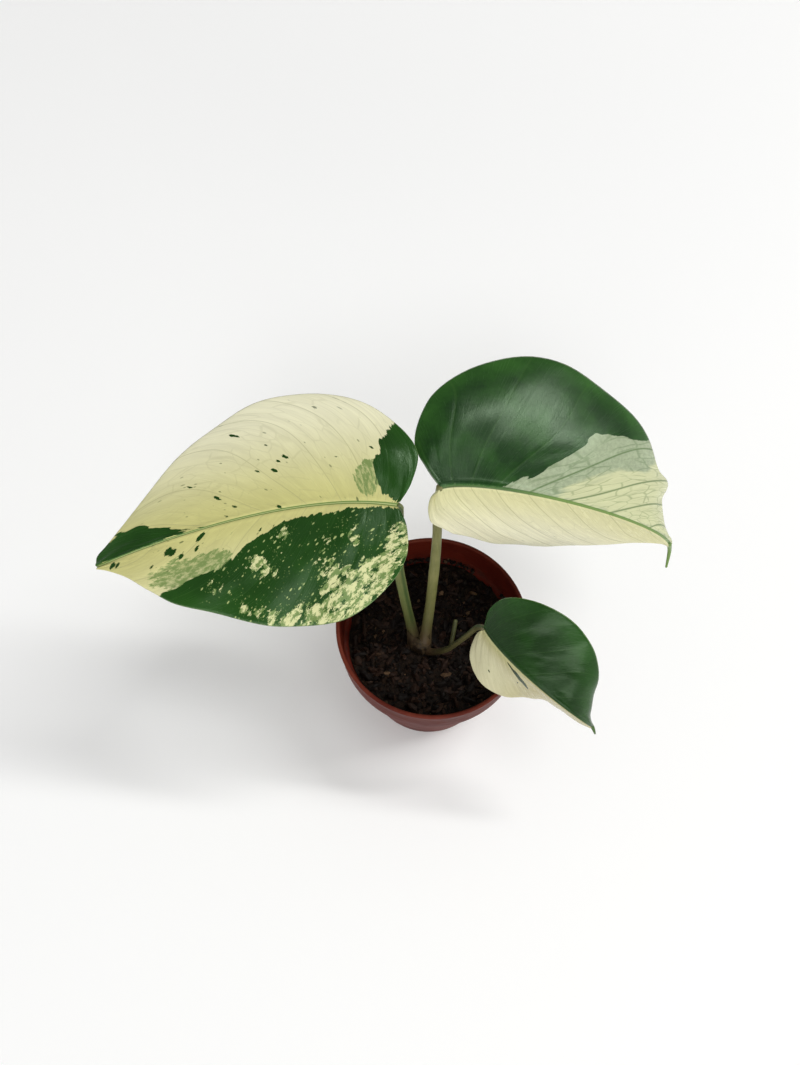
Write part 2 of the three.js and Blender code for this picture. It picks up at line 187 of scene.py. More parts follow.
def spots(points: Array, centres: list[Spot], stretch: float = 1) -> Array:
    """Soft spots of a blade.

    Each is a bell round its centre, drawn out in the direction in which the side veins run: tipwards and
    away from the midrib. Where bells overlap they add up, to 1 at most.

    Args:
        points: flat points.
        centres: place, radius and strength of each.
        stretch: length over width.

    Returns:
        One value a point.
    """
    total = np.zeros(len(points))
    for along, out, radius, strength in centres:
        ahead, aside = points[:, 0] - along, (points[:, 1] - out) * (1 if out > 0 else -1)
        lengthwise, across = (0.8 * ahead + 0.6 * aside) / stretch, 0.8 * aside - 0.6 * ahead
        total += strength * bell(np.hypot(lengthwise, across), radius)
    return np.clip(total, 0, 1)


def grid_faces(rows: int, columns: int, wrap: bool = False, start: int = 0) -> Array:
    """Quads of a grid of rows by columns vertices, numbered along its rows from start.

    Args:
        rows: count of rows.
        columns: count of vertices in a row.
        wrap: whether a row's last vertex joins its first.
        start: number of the first vertex.

    Returns:
        One row of four vertex numbers a quad.
    """
    across = columns if wrap else columns - 1
    i, j = np.meshgrid(np.arange(rows - 1), np.arange(across), indexing="ij")
    k = (j + 1) % columns
    quads = np.stack([i * columns + j, i * columns + k, (i + 1) * columns + k, (i + 1) * columns + j], -1)
    return start + quads.reshape(-1, 4)


def closed_sheet(top: Array, under: Array) -> tuple[Array, list[Array]]:
    """A sheet from the grids of its upper and lower face, closed at its first and last row.

    Its other two sides are closed by vertices that lie on each other, which weld joins.

    Args:
        top: points of the upper face.
        under: points of the lower face.

    Returns:
        Points, and arrays of quads.
    """
    rows, columns = top.shape[:2]
    count = rows * columns
    first = np.arange(columns - 1)
    last = first + (rows - 1) * columns
    faces = [
        grid_faces(rows, columns)[:, ::-1],
        grid_faces(rows, columns, start=count),
        np.stack([first, first + 1, first + 1 + count, first + count], -1),
        np.stack([last + 1, last, last + count, last + 1 + count], -1),
    ]
    return np.concatenate([top.reshape(-1, 3), under.reshape(-1, 3)]), faces


def tube_frames(path: list[Point], steps: int) -> tuple[Array, Array, Array, Array]:
    """Even points along a smooth curve through a path, with two directions across it.

    The first direction starts near the x axis and is carried along the curve without twisting, by taking
    off its part along the curve at each step.

    Args:
        path: points that the curve passes.
        steps: count of stretches.

    Returns:
        Centres, first and second direction, and the share of the length from 0 to 1.
    """
    dense = spline(np.array(path, float), np.linspace(0, 1, 40 * len(path)))
    arc = arc_lengths(dense)
    t = np.linspace(0, 1, steps + 1)
    centre = np.stack([np.interp(t * arc[-1], arc, dense[:, k]) for k in range(3)], -1)
    heading = unit(np.gradient(centre, axis=0))
    across = np.empty_like(centre)
    guess = np.array([1.0, 0.15, 0.0])
    for i, direction in enumerate(heading):
        guess = guess - direction * guess.dot(direction)
        guess = guess / np.linalg.norm(guess)
        across[i] = guess
    return centre, across, np.cross(heading, across), t


def tube(centre: Array, across: Array, second: Array, radius: Callable[[Array], Array], sides: int,
         start: int = 0) -> tuple[Array, Array]:
    """Closed tube along a line of centres.

    A point lies at the radius, a function of the turn round the line, from its centre: cosine of the turn
    along the first direction and sine along the second. Each end closes in three rings, the last a point.

    Args:
        centre: points of the line.
        across: first direction across it.
        second: second direction across it.
        radius: function from turns to radii, for all centres.
        sides: count of points round the line.
        start: number of the first vertex.

    Returns:
        Points and quads.
    """
    turn = full_turn(sides)[None, :]
    size = radius(turn) + np.zeros((len(centre), sides))
    spokes = across[:, None] * np.cos(turn)[..., None] + second[:, None] * np.sin(turn)[..., None]
    body = centre[:, None] + size[..., None] * spokes
    heading = unit(np.cross(across, second))
    caps = []
    for end, sign in ((0, -1), (-1, 1)):
        lift = sign * heading[end] * size[end].mean()
        caps.append([centre[end] + share * size[end][:, None] * spokes[end] + lift * rise
                     for share, rise in ((0.8, 0.45), (0.45, 0.75), (0.0, 0.85))])
    rows = [*reversed(caps[0]), *body, *caps[1]]
    return np.array(rows).reshape(-1, 3), grid_faces(len(rows), sides, wrap=True, start=start)


def make_piece(name: str, points: Array, faces: list[Array],
               node: str | None = None) -> bpy.types.Object:
    """A smooth mesh object at the origin, riding on the root body.

    Args:
        name: the object's name.
        points: vertices in millimetres.
        faces: arrays of faces, one for each count of corners.
        node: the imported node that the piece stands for, or None.

    Returns:
        The linked object.
    """
    mesh = bpy.data.meshes.new(name)
    mesh.from_pydata((points * MM).tolist(), [], [face for part in faces for face in part.tolist()])
    mesh.update()
    mesh.shade_smooth()
    piece = bpy.data.objects.new(name, mesh)
    bpy.context.scene.collection.objects.link(piece)
    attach(piece, "root")
    if node:
        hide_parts(node)
    LOG.info("%s: %d vertices", name, len(points))
    return piece


def add_field(piece: bpy.types.Object, name: str, values: Array) -> None:
    """Stores one number a vertex under a name that materials read."""
    made = piece.data.attributes.new(name, "FLOAT", "POINT")
    made.data.foreach_set("value", values.astype(np.float32).ravel())


def add_map(piece: bpy.types.Object, name: str, values: Array) -> None:
    """Stores a UV map from two numbers a vertex."""
    corners = np.empty(len(piece.data.loops), np.int32)
    piece.data.loops.foreach_get("vertex_index", corners)
    layer = piece.data.uv_layers.new(name=name)
    layer.data.foreach_set("uv", values[corners].astype(np.float32).ravel())


def weld(piece: bpy.types.Object) -> None:
    """Joins vertices that lie on each other, such as those of a margin or a pole."""
    work = bmesh.new()
    work.from_mesh(piece.data)
    bmesh.ops.remove_doubles(work, verts=work.verts, dist=2e-6)
    work.to_mesh(piece.data)
    work.free()
    piece.data.update()


class Wire:
    """A number, colour or vector that a node puts out. Arithmetic on it adds Math nodes to its tree."""

    def __init__(self, nodes: "Nodes", socket: bpy.types.NodeSocket) -> None:
        """Keeps the output and the tree's calls."""
        self.nodes, self.socket = nodes, socket

    def __add__(self, other: "Source") -> "Wire":
        """The sum."""
        return self.nodes.math("ADD", self, other)

    def __sub__(self, other: "Source") -> "Wire":
        """The difference."""
        return self.nodes.math("SUBTRACT", self, other)

    def __rsub__(self, other: float) -> "Wire":
        """A number less this one."""
        return self.nodes.math("SUBTRACT", other, self)

    def __mul__(self, other: "Source") -> "Wire":
        """The product."""
        return self.nodes.math("MULTIPLY", self, other)

    def __truediv__(self, other: "Source") -> "Wire":
        """The quotient."""
        return self.nodes.math("DIVIDE", self, other)

    def __abs__(self) -> "Wire":
        """The number without its sign."""
        return self.nodes.math("ABSOLUTE", self)


Source = Wire | float | Colour
Feeds = dict[str | int, Source]


class Nodes:
    """Short calls for the shader nodes of one material or group."""

    def __init__(self, tree: bpy.types.NodeTree) -> None:
        """Works on a node tree."""
        self.tree = tree

    def feed(self, socket: bpy.types.NodeSocket, value: Source) -> None:
        """Links a socket to an output, or sets its own value."""
        if isinstance(value, Wire):
            self.tree.links.new(value.socket, socket)
        elif isinstance(value, tuple) and socket.type == "RGBA":
            socket.default_value = (*value, 1)
        else:
            socket.default_value = value

    def add(self, kind: str, feeds: Feeds | None = None, **settings: object) -> bpy.types.Node:
        """A new node.

        Args:
            kind: its type.
            feeds: what its inputs are fed, by name or number.
            settings: its own properties.

        Returns:
            The node.
        """
        node = self.tree.nodes.new(kind)
        for key, value in settings.items():
            setattr(node, key, value)
        for key, value in (feeds or {}).items():
            self.feed(node.inputs[key], value)
        return node

    def output(self, output: str | int, kind: str, feeds: Feeds | None = None, **settings: object) -> Wire:
        """One output of a new node."""
        return Wire(self, self.add(kind, feeds, **settings).outputs[output])

    def math(self, operation: str, a: Source, b: Source = 0.0, clamp: bool = False) -> Wire:
        """Result of one arithmetic node."""
        return self.output(0, "ShaderNodeMath", {0: a, 1: b}, operation=operation, use_clamp=clamp)

    def ramp(self, value: Source, low: Source, high: Source, to_low: float = 0, to_high: float = 1) -> Wire:
        """Smooth ramp of a value from low to high."""
        feeds = dict(enumerate((value, low, high, to_low, to_high)))
        return self.output(0, "ShaderNodeMapRange", feeds, interpolation_type="SMOOTHSTEP")

    def mix(self, share: Source, a: Source, b: Source, blend: str = "MIX") -> Wire:
        """Colour a turned into b by a share."""
        return self.output(2, "ShaderNodeMix", {0: share, 6: a, 7: b}, data_type="RGBA", blend_type=blend)

    def read(self, name: str) -> Wire:
        """A number stored on the mesh."""
        return self.output("Fac", "ShaderNodeAttribute", attribute_name=name)

    def own_map(self, name: str) -> Wire:
        """A UV map stored on the mesh."""
        return self.output(0, "ShaderNodeUVMap", uv_map=name)

    def place(self) -> Wire:
        """Object coordinates, in metres."""
        return self.output("Object", "ShaderNodeTexCoord")

    def scaled(self, vector: Wire, size: Point) -> Wire:
        """A vector multiplied axis by axis."""
        return self.output(0, "ShaderNodeMapping", {"Vector": vector, "Scale": size})

    def stretched(self, vector: Wire, turn: float, size: tuple[float, float]) -> Wire:
        """A flat map in units of a size: length and width, with the length turned by degrees."""
        feeds = {"Vector": vector, "Rotation": (0, 0, math.radians(turn)), "Scale": (*size, 1)}
        return self.output(0, "ShaderNodeMapping", feeds, vector_type="TEXTURE")

    def noise(self, vector: Wire, scale: float, detail: float = 4, roughness: float = 0.55) -> Wire:
        """Noise around 0.5."""
        feeds = {"Vector": vector, "Scale": scale, "Detail": detail, "Roughness": roughness}
        return self.output("Fac", "ShaderNodeTexNoise", feeds)

    def split(self, vector: Wire) -> list[Wire]:
        """The three numbers of a vector."""
        return [Wire(self, output) for output in self.add("ShaderNodeSeparateXYZ", {0: vector}).outputs]

    def bump(self, height: Wire, distance: float, strength: float = 1) -> Wire:
        """Normal bent by a height in millimetres of relief."""
        feeds = {"Height": height, "Distance": distance * MM, "Strength": strength}
        return self.output(0, "ShaderNodeBump", feeds)

    def group(self, name: str, **feeds: Source) -> Wire:
        """Output of a shared node group, with its inputs fed by their names."""
        return self.output(0, "ShaderNodeGroup", feeds, node_tree=bpy.data.node_groups[name])


class Group(Nodes):
    """A shared node group with number inputs and one number output."""

    def __init__(self, name: str, inputs: dict[str, float], vector: bool = False) -> None:
        """Makes the group's sockets.

        Args:
            name: the group's name.
            inputs: default of each input.
            vector: whether there is a Vector input too.
        """
        tree = bpy.data.node_groups.new(name, "ShaderNodeTree")
        if vector:
            tree.interface.new_socket("Vector", in_out="INPUT", socket_type="NodeSocketVector")
        for key, default in inputs.items():
            socket = tree.interface.new_socket(key, in_out="INPUT", socket_type="NodeSocketFloat")
            socket.default_value = default
        tree.interface.new_socket("Value", in_out="OUTPUT", socket_type="NodeSocketFloat")
        super().__init__(tree)
        self.given = {socket.name: Wire(self, socket) for socket in self.add("NodeGroupInput").outputs}

    def close(self, value: Wire) -> None:
        """Makes a value the group's output."""
        self.add("NodeGroupOutput", {0: value})


class Material(Nodes):
    """Short calls for the nodes of a material with a Principled shader."""

    def __init__(self, name: str) -> None:
        """Makes the material."""
        self.made = bpy.data.materials.new(name)
        self.made.use_nodes = True
        super().__init__(self.made.node_tree)

    def dress(self, colour: Source, roughness: Source, normal: Wire | None = None, specular: float = 0.5,
              tint: Colour = (1.0, 1.0, 1.0)) -> bpy.types.Material:
        """Feeds the shader.

        Args:
            colour: base colour.
            roughness: its roughness.
            normal: bent normal, or None.
            specular: strength of its reflection.
            tint: colour of its reflection.

        Returns:
            The finished material.
        """
        inputs = self.tree.nodes["Principled BSDF"].inputs
        self.feed(inputs["Base Color"], colour)
        self.feed(inputs["Roughness"], roughness)
        self.feed(inputs["Specular IOR Level"], specular)
        self.feed(inputs["Specular Tint"], tint)
        if normal is not None:
            self.feed(inputs["Normal"], normal)
        return self.made


def add_ragged_mask() -> None:
    """Shared mask of a region: 1 inside its edge, which noise pushes in and out by millimetres."""
    n = Group("ragged_mask", {"Distance": 0, "Noise": 0.5, "Amplitude": 1, "Softness": 0.1})
    softness = n.given["Softness"]
    edge = n.given["Distance"] + (n.given["Noise"] - 0.5) * n.given["Amplitude"]
    n.close(n.ramp(edge, softness * -1.0, softness))


def add_vein_lines() -> None:
    """Shared mask of lines at the whole numbers of a phase, with the pitch and half width in millimetres."""
    n = Group("vein_lines", {"Phase": 0, "Pitch": 1, "Width": 0.2})
    width = n.given["Width"]
    away = abs(n.math("FRACT", n.given["Phase"] + 0.5) - 0.5) * n.given["Pitch"]
    n.close(n.ramp(away, width, width * 0.25))


def add_flecks() -> None:
    """Shared mask of scattered flecks: the middles of a share of the cells of a Voronoi pattern."""
    n = Group("flecks", {"Share": 0.1, "Size": 0.3}, vector=True)
    cells = n.add("ShaderNodeTexVoronoi", {"Vector": n.given["Vector"], "Scale": 1.0}, feature="F1")
    pick, spread, _ = n.split(Wire(n, cells.outputs["Color"]))
    size = n.given["Size"] * (spread + 0.35)
    near = n.ramp(Wire(n, cells.outputs["Distance"]), size, size * 0.6)
    n.close(n.math("LESS_THAN", pick, n.given["Share"]) * near)


class LeafNodes(Material):
    """A leaf material's nodes, with what they read from the blade.

    The map "flat" holds centimetres along the midrib and out from it. The map "veins" holds the vein phase
    and the signed share of the way to the margin.
    """

    def __init__(self, name: str) -> None:
        """Reads the maps and fields, and makes the noises that several layers share."""
        super().__init__(name)
        self.flat, self.veins = self.own_map("flat"), self.own_map("veins")
        self.phase = self.split(self.veins)[0]
        self.along, out, _ = self.split(self.flat)
        self.out_mm = abs(out) * 10.0
        self.margin, self.under = self.read("margin"), self.read("under")
        self.mint, self.pitch = self.read("mint"), self.read("pitch")
        self.streaks = self.noise(self.scaled(self.veins, (5.0, 3.2, 1)), 1.0, 5, 0.6)
        self.fine = self.noise(self.scaled(self.veins, (30.0, 4.0, 1)), 1.0, 4, 0.65)
        self.mottle = self.noise(self.flat, 9.0, 6, 0.62)

    def greatest(self, *values: Wire) -> Wire:
        """The greatest of several numbers."""
        best = values[0]
        for value in values[1:]:
            best = self.math("MAXIMUM", best, value)
        return best


@dataclass(frozen=True)
class LeafFinish:
    """Waxy variegated leaf: pale areas with faint veins, green areas with a brushed sheen.

    Widths are half widths in millimetres. A share or a strength runs from 0 to 1. The midrib has a band and
    a paler line in it, each with one colour at the base of the blade and another further on.
    """

    name: str
    cream: Colour
    cream_inner: Colour
    green: Colour
    green_edge: Colour
    # painted shade: a darker cream towards the tip, for a blade whose tip lies in shade
    painted_tip_shade: Colour | None = None
    mint: Colour = srgb(160, 171, 141)
    mint_shadow: float = 0.8
    lime: Colour = srgb(192, 194, 154)
    half_green: Colour = srgb(112, 134, 76)
    splash: Colour = srgb(204, 204, 152)
    speck: Colour = srgb(176, 188, 122)
    midrib: Colour = srgb(80, 114, 48)
    midrib_base: Colour = srgb(80, 114, 48)
    midrib_pale: Colour = srgb(168, 182, 118)
    midrib_pale_base: Colour = srgb(190, 196, 136)
    vein_on_cream: Colour = srgb(150, 148, 108)
    vein_on_mint: Colour = srgb(84, 108, 66)
    vein_on_green: Colour = srgb(72, 108, 48)
    margin_on_cream: Colour = srgb(196, 192, 150)
    margin_on_green: Colour = srgb(84, 118, 58)
    underside: Colour = srgb(142, 156, 112)
    inner_reach: float = 16.0
    midrib_width: float = 0.44
    vein_width: float = 0.17
    vein_width_on_mint: float = 0.36
    vein_strength: float = 0.45
    fleck_share: float = 0.1
    raggedness: float = 3.4
    splash_angle: float = 37.0
    smoothest: float = 0.14
    gloss: float = 0.3
    gloss_tint: Colour = (0.74, 1.0, 0.7)
    relief: float = 0.034

    def build(self) -> bpy.types.Material:
        """Builds the material of one blade.

        Returns:
            A material that reads the blade's two maps and its fields green, splash, marble, fleck, mint,
            lime, margin, pitch, rib and under.
        """
        n = LeafNodes(self.name)
        lines, net = self.side_veins(n), self.net(n)
        pale = self.veined(n, self.pale(n), lines, net)
        pale = n.mix(self.marbled(n), pale, self.half_green)
        pale = n.mix(self.flecks(n), pale, self.green)
        is_green = n.group("ragged_mask", Distance=n.read("green"), Noise=n.streaks,
                           Amplitude=self.raggedness, Softness=0.08)
        colour = n.mix(is_green, pale, self.splashed(n, self.deep_green(n, lines)))
        colour = self.with_midrib(n, colour)
        rim = n.mix(is_green, self.margin_on_cream, self.margin_on_green)
        colour = n.mix(n.ramp(n.margin, 0.36, 0.1) * 0.7, colour, rim)
        colour = n.mix(n.under, colour, n.mix(0.4, colour, self.underside))
        rough = n.fine * 0.16 + n.streaks * 0.08 + n.under * 0.25 + self.smoothest
        relief = n.fine + n.streaks * 0.6 - lines * 0.25 - net * 0.12
        return n.dress(colour, rough, n.bump(relief, self.relief), self.gloss, self.gloss_tint)

    def side_veins(self, n: LeafNodes) -> Wire:
        """Mask of the side veins, which fade where they crowd together."""
        width = n.ramp(n.mint, 0, 1, self.vein_width, self.vein_width_on_mint)
        return n.group("vein_lines", Phase=n.phase, Pitch=n.pitch, Width=width) * n.ramp(n.pitch, 1.4, 3.6)

    def net(self, n: LeafNodes) -> Wire:
        """Mask of the finest veins: broken borders of long, bent cells that lie along the side veins."""
        feeds = {"Vector": n.scaled(n.veins, (1.6, 3.0, 1)), "Scale": 1.0}
        drift = n.output("Color", "ShaderNodeTexNoise", feeds)
        feeds = {0: drift, 1: (0.3, 0.14, 0), 2: n.veins}
        bent = n.output(0, "ShaderNodeVectorMath", feeds, operation="MULTIPLY_ADD")
        feeds = {"Vector": n.scaled(bent, (4.4, 5.2, 1)), "Scale": 1.0}
        away = n.output("Distance", "ShaderNodeTexVoronoi", feeds, feature="DISTANCE_TO_EDGE")
        borders = n.ramp(away, n.ramp(n.mint, 0, 1, 0.05, 0.075), 0.01)
        return borders * n.ramp(n.noise(n.scaled(n.veins, (2.2, 4.0, 1)), 1.0, 3), 0.34, 0.52)

    def veined(self, n: LeafNodes, pale: Wire, lines: Wire, net: Wire) -> Wire:
        """The pale areas with their side veins, three times as many finer ones and the net.

        All are bolder on mint.
        """
        minor = n.group("vein_lines", Phase=n.phase * 3.0, Pitch=n.pitch / 3.0, Width=0.11)
        minor = minor * n.ramp(n.noise(n.scaled(n.veins, (1.3, 2.4, 1)), 1.0, 3), 0.42, 0.62)
        share = n.greatest(lines * n.ramp(n.mint, 0, 1, self.vein_strength, 0.78),
                           minor * n.ramp(n.mint, 0, 1, self.vein_strength * 0.4, 0.34),
                           net * n.ramp(n.mint, 0, 1, 0.16, 0.4))
        return n.mix(share, pale, n.mix(n.mint, self.vein_on_cream, self.vein_on_mint))

    def pale(self, n: LeafNodes) -> Wire:
        """Cream, yellower beside the midrib, or mint with a lime part, each with a soft variation."""
        cream = n.mix(n.ramp(n.out_mm, self.inner_reach, 0.0), self.cream, self.cream_inner)
        if self.painted_tip_shade:
            # painted shade: the cream darkens towards the tip, where the tip lies in shade
            cream = n.mix(n.ramp(n.along, 0.8, 2.6), cream, self.painted_tip_shade)
        shadow = tuple(part * self.mint_shadow for part in self.mint)
        mint = n.mix(n.ramp(n.mottle, 0.3, 0.7), self.mint, shadow)
        lime = n.read("lime")
        is_lime = n.group("ragged_mask", Distance=lime, Noise=n.streaks, Amplitude=6.0, Softness=1.1)
        pale = n.mix(n.mint, cream, n.mix(is_lime, mint, self.lime))
        shade = n.ramp(n.streaks, 0.25, 0.75, 0.93, 1.04)
        tint = n.output(0, "ShaderNodeCombineXYZ", {0: shade, 1: shade, 2: shade})
        return n.mix(1.0, pale, tint, "MULTIPLY")

    def marbled(self, n: LeafNodes) -> Wire:
        """Mask of the cloudy half-green patches on the cream, dense where the marble field is high."""
        clouds = n.noise(n.scaled(n.veins, (8.0, 12.0, 1)), 1.0, 7, 0.74)
        ragged = ((clouds - 0.5) + (n.streaks - 0.5)) * 1.6
        return n.ramp(n.read("marble") + ragged, 0.4, 0.56) * n.ramp(clouds, 0.38, 0.56, 0.3, 0.95)

    def flecks(self, n: LeafNodes) -> Wire:
        """Mask of dark flecks on the cream: those of the fleck field, and scattered ones along the veins."""
        placed = n.read("fleck") + (n.noise(n.veins, 22.0, 5, 0.75) - 0.5) * 1.3
        share = self.fleck_share
        long = n.group("flecks", Vector=n.scaled(n.veins, (5.0, 9.0, 1)), Share=share, Size=0.24)
        tiny = n.group("flecks", Vector=n.scaled(n.veins, (12.0, 20.0, 1)), Share=share, Size=0.26)
        return n.greatest(n.ramp(placed, 0.6, 0.66), long * 0.7, tiny * 0.5) * (1.0 - n.mint)

    def deep_green(self, n: LeafNodes, lines: Wire) -> Wire:
        """Dark green, brighter towards the margin and in patches, with slightly lighter veins."""
        patch = n.ramp(n.noise(n.flat, 0.9, 2), 0.38, 0.66)
        bright = n.ramp(n.margin, 9.0, 0.4) * 0.55 + patch * 0.4
        bright = n.math("ADD", bright, (n.mottle - 0.5) * 0.5, clamp=True)
        return n.mix(lines * 0.1, n.mix(bright, self.green, self.green_edge), self.vein_on_green)

    def splashed(self, n: LeafNodes, deep: Wire) -> Wire:
        """The green with its splashes: cream blobs inside half-green ones, long along the veins, and specks.

        All are denser by the splash field, and where it is 0 there are none.
        """
        density = n.read("splash")
        there = n.ramp(density, 0.0, 0.04)
        low = n.ramp(density, 0, 1, 0.78, 0.43)
        blobs = n.noise(n.stretched(n.flat, self.splash_angle, (0.42, 0.2)), 1.0, 8, 0.68)
        half = n.ramp(blobs, low, low + 0.015)
        filling = n.noise(n.stretched(n.flat, self.splash_angle, (0.3, 0.16)), 1.0, 7, 0.74)
        full = half * n.ramp(filling, 0.475, 0.53)
        share = n.ramp(density, 0.0, 0.6, 0.0, 0.6)
        grain = n.stretched(n.flat, self.splash_angle, (0.2, 0.075))
        specks = n.group("flecks", Vector=grain, Share=share, Size=0.3)
        dots = n.group("flecks", Vector=n.scaled(n.flat, (17.0, 17.0, 1)), Share=share, Size=0.34)
        colour = n.mix(half * there * 0.92, deep, self.half_green)
        colour = n.mix(dots * 0.5, colour, self.half_green)
        colour = n.mix(specks * 0.8, colour, self.speck)
        return n.mix(full * there, colour, self.splash)

    def with_midrib(self, n: LeafNodes, colour: Wire) -> Wire:
        """The blade's colour with a green band along the midrib and a pale line in its middle."""
        width = n.read("rib") * self.midrib_width
        band = n.ramp(n.out_mm, width * 1.15, width * 0.75)
        core = n.ramp(n.out_mm, width * 0.45, width * 0.2)
        base = n.ramp(n.along, 3.4, 1.6)
        colour = n.mix(band * 0.9, colour, n.mix(base, self.midrib, self.midrib_base))
        return n.mix(core * 0.7, colour, n.mix(base, self.midrib_pale, self.midrib_pale_base))


@dataclass(frozen=True)
class BladeHalf:
    """One half of a blade, with pairs that hold a value at the base and one at the tip.

    The fold is its droop beside the midrib in degrees, and the curl what each millimetre outwards adds to
    it. The margin's points are distances along the midrib and out from it. The wave is the height of the
    margin's ripple, and the dome how far the half rises before its margin rolls down. The sweep is how far
    the veins lean towards the tip, and the power of their curve.
    """

    fold: tuple[float, float]
    curl: tuple[float, float]
    wave: float
    sweep: tuple[float, float]
    margin: list[FlatPoint]
    dome: float = 0.0


@dataclass
class Blade:
    """A leaf blade on a midrib that is a Bezier curve.

    The lists of flat regions and spots colour it. A pair holds a value at the base and one at the tip: the
    roll of the blade about its midrib in degrees, and the midrib's half width.
    """

    name: str
    slot: Slot
    finish: LeafFinish
    midrib: list[Point]
    roll: tuple[float, float]
    rib: tuple[float, float]
    left: BladeHalf
    right: BladeHalf
    green: list[list[FlatPoint]]
    lime: list[list[FlatPoint]] = field(default_factory=list)
    splashes: list[Spot] = field(default_factory=list)
    marbling: list[Spot] = field(default_factory=list)
    flecks: list[Spot] = field(default_factory=list)
    bulges: list[Spot] = field(default_factory=list)
    drip_tip: list[Point] = field(default_factory=list)
    drip_radius: float = 0.68
    mint: bool = False
    spread: float = 2.2
    ripples: float = 6.5
    vein_count: int = 9
    vein_depth: float = 0.03
    vein_reach: float = 0.45
    channel_depth: float = 0.32
    shoulder: float = 0.1
    ridge: float = 0.95
    bulge: float = 1.2
    fleck_stretch: float = 2.4
    swell: float = 0.01
    waves: float = 0.8
    calm: float = 4.0
    columns: int = 280
    rows: int = 64
    half_thickness: float = 0.24

    @cached_property
    def spine(self) -> tuple[Array, Array, Array, float]:
        """The midrib by arc length: a cubic Bezier curve measured by short chords.

        Its directions are averaged over a few millimetres, so that the blade turns no sharper than a leaf.

        Returns:
            Arc lengths, places, directions and the whole length.
        """
        a, b, c, d = (np.array(point, float) for point in self.midrib)
        t = np.linspace(0, 1, 600)[:, None]
        place = a * (1 - t) ** 3 + 3 * b * t * (1 - t) ** 2 + 3 * c * t ** 2 * (1 - t) + d * t ** 3
        heading = unit(3 * (b - a) * (1 - t) ** 2 + 6 * (c - b) * t * (1 - t) + 3 * (d - c) * t ** 2)
        arc = arc_lengths(place)
        nearby = bell(arc[:, None] - arc[None], self.calm) * np.gradient(arc)[None]
        return arc, place, unit(nearby @ heading), float(arc[-1])

    def surface(self, along: Array, out: Array, hand: Hand) -> tuple[Array, Array]:
        """Places and normals of flat points.

        The frame of the midrib at the arc length along is turned about its direction by the roll. From
        there a half bends down along a circular arc: its droop is fold plus curl times out.

        Args:
            along: distance along the midrib, negative behind the base.
            out: distance out from the midrib.
            hand: which half.

        Returns:
            Places in millimetres and unit normals, up.
        """
        arc, place, direction, length = self.spine
        half = self.half(hand)
        inside = np.clip(along, 0, length)
        centre = np.stack([np.interp(inside, arc, place[:, k]) for k in range(3)], -1)
        heading = unit(np.stack([np.interp(inside, arc, direction[:, k]) for k in range(3)], -1))
        centre = centre + heading * np.minimum(along, 0)[..., None]
        part = np.clip(along / length, 0, 1)[..., None]
        level = unit(np.cross([0, 0, 1], heading))
        turn = np.radians(between(self.roll, part))
        side = level * np.cos(turn) + np.cross(heading, level) * np.sin(turn)
        up = np.cross(heading, side)
        fold, curl = np.radians(between(half.fold, part)), np.radians(between(half.curl, part))
        bend = fold + curl * out[..., None]
        across, rise = (np.sin(bend) - np.sin(fold)) / curl, (np.cos(bend) - np.cos(fold)) / curl
        outward = side * hand.value
        return centre + outward * across + up * rise, outward * np.sin(bend) + up * np.cos(bend)

    def half(self, hand: Hand) -> BladeHalf:
        """The half on a hand."""
        return self.left if hand is Hand.LEFT else self.right

    def half_grid(self, hand: Hand) -> dict[str, Array]:
        """Fields over one half: columns from base to tip and rows from the midrib to the margin.

        A column joins a point of the midrib, at the length times w to the power spread, to the margin's
        point at w. Rows are closer near the midrib and the margin. The vein phase is constant along
        curves that leave the midrib and sweep towards the tip.

        Args:
            hand: which half.

        Returns:
            Arrays of the same size by name.
        """
        half = self.half(hand)
        w = np.linspace(0, 1, self.columns + 1)[:, None]
        row = np.linspace(0, 1, self.rows + 1)[None, :]
        r = 0.35 * row ** 1.8 + 0.65 * (1 - (1 - row) ** 1.45)
        edge = spline(np.array(half.margin, float), w[:, 0])
        root = self.spine[3] * w ** self.spread
        along = root + r * (edge[:, :1] - root)
        out = r * edge[:, 1:]
        reach = np.hypot(edge[:, :1] - root, edge[:, 1:])
        r, w = np.broadcast_arrays(r, w)
        gather = half.sweep[0] * r ** half.sweep[1]
        phase = (w - gather) / (1 - gather)
        sway = 0.016 * np.sin(7 * phase + 5 * r) + 0.012 * np.sin(23 * phase - 3 * r + hand.value)
        phase = phase + r * sway
        place, normal = self.surface(along, out, hand)
        beat = np.sin(2 * np.pi * self.ripples * w + 5 * hand.value)
        ripple = half.wave * r ** 3 * beat * np.sin(np.pi * w)
        dome = half.dome * (0.67 * smoothstep(0, 0.6, r) - r ** 4)
        slope = steepness(phase, along, out)
        return {
            "place": place, "normal": normal, "flat": np.stack([along, out * hand.value], -1), "out": out,
            "r": r, "w": w, "share": r * hand.value, "rib": between(self.rib, w), "form": ripple + dome,
            "margin": (1 - r) * reach, "phase": phase * self.vein_count,
            "pitch": 1 / np.maximum(slope * self.vein_count, 1e-3),
        }

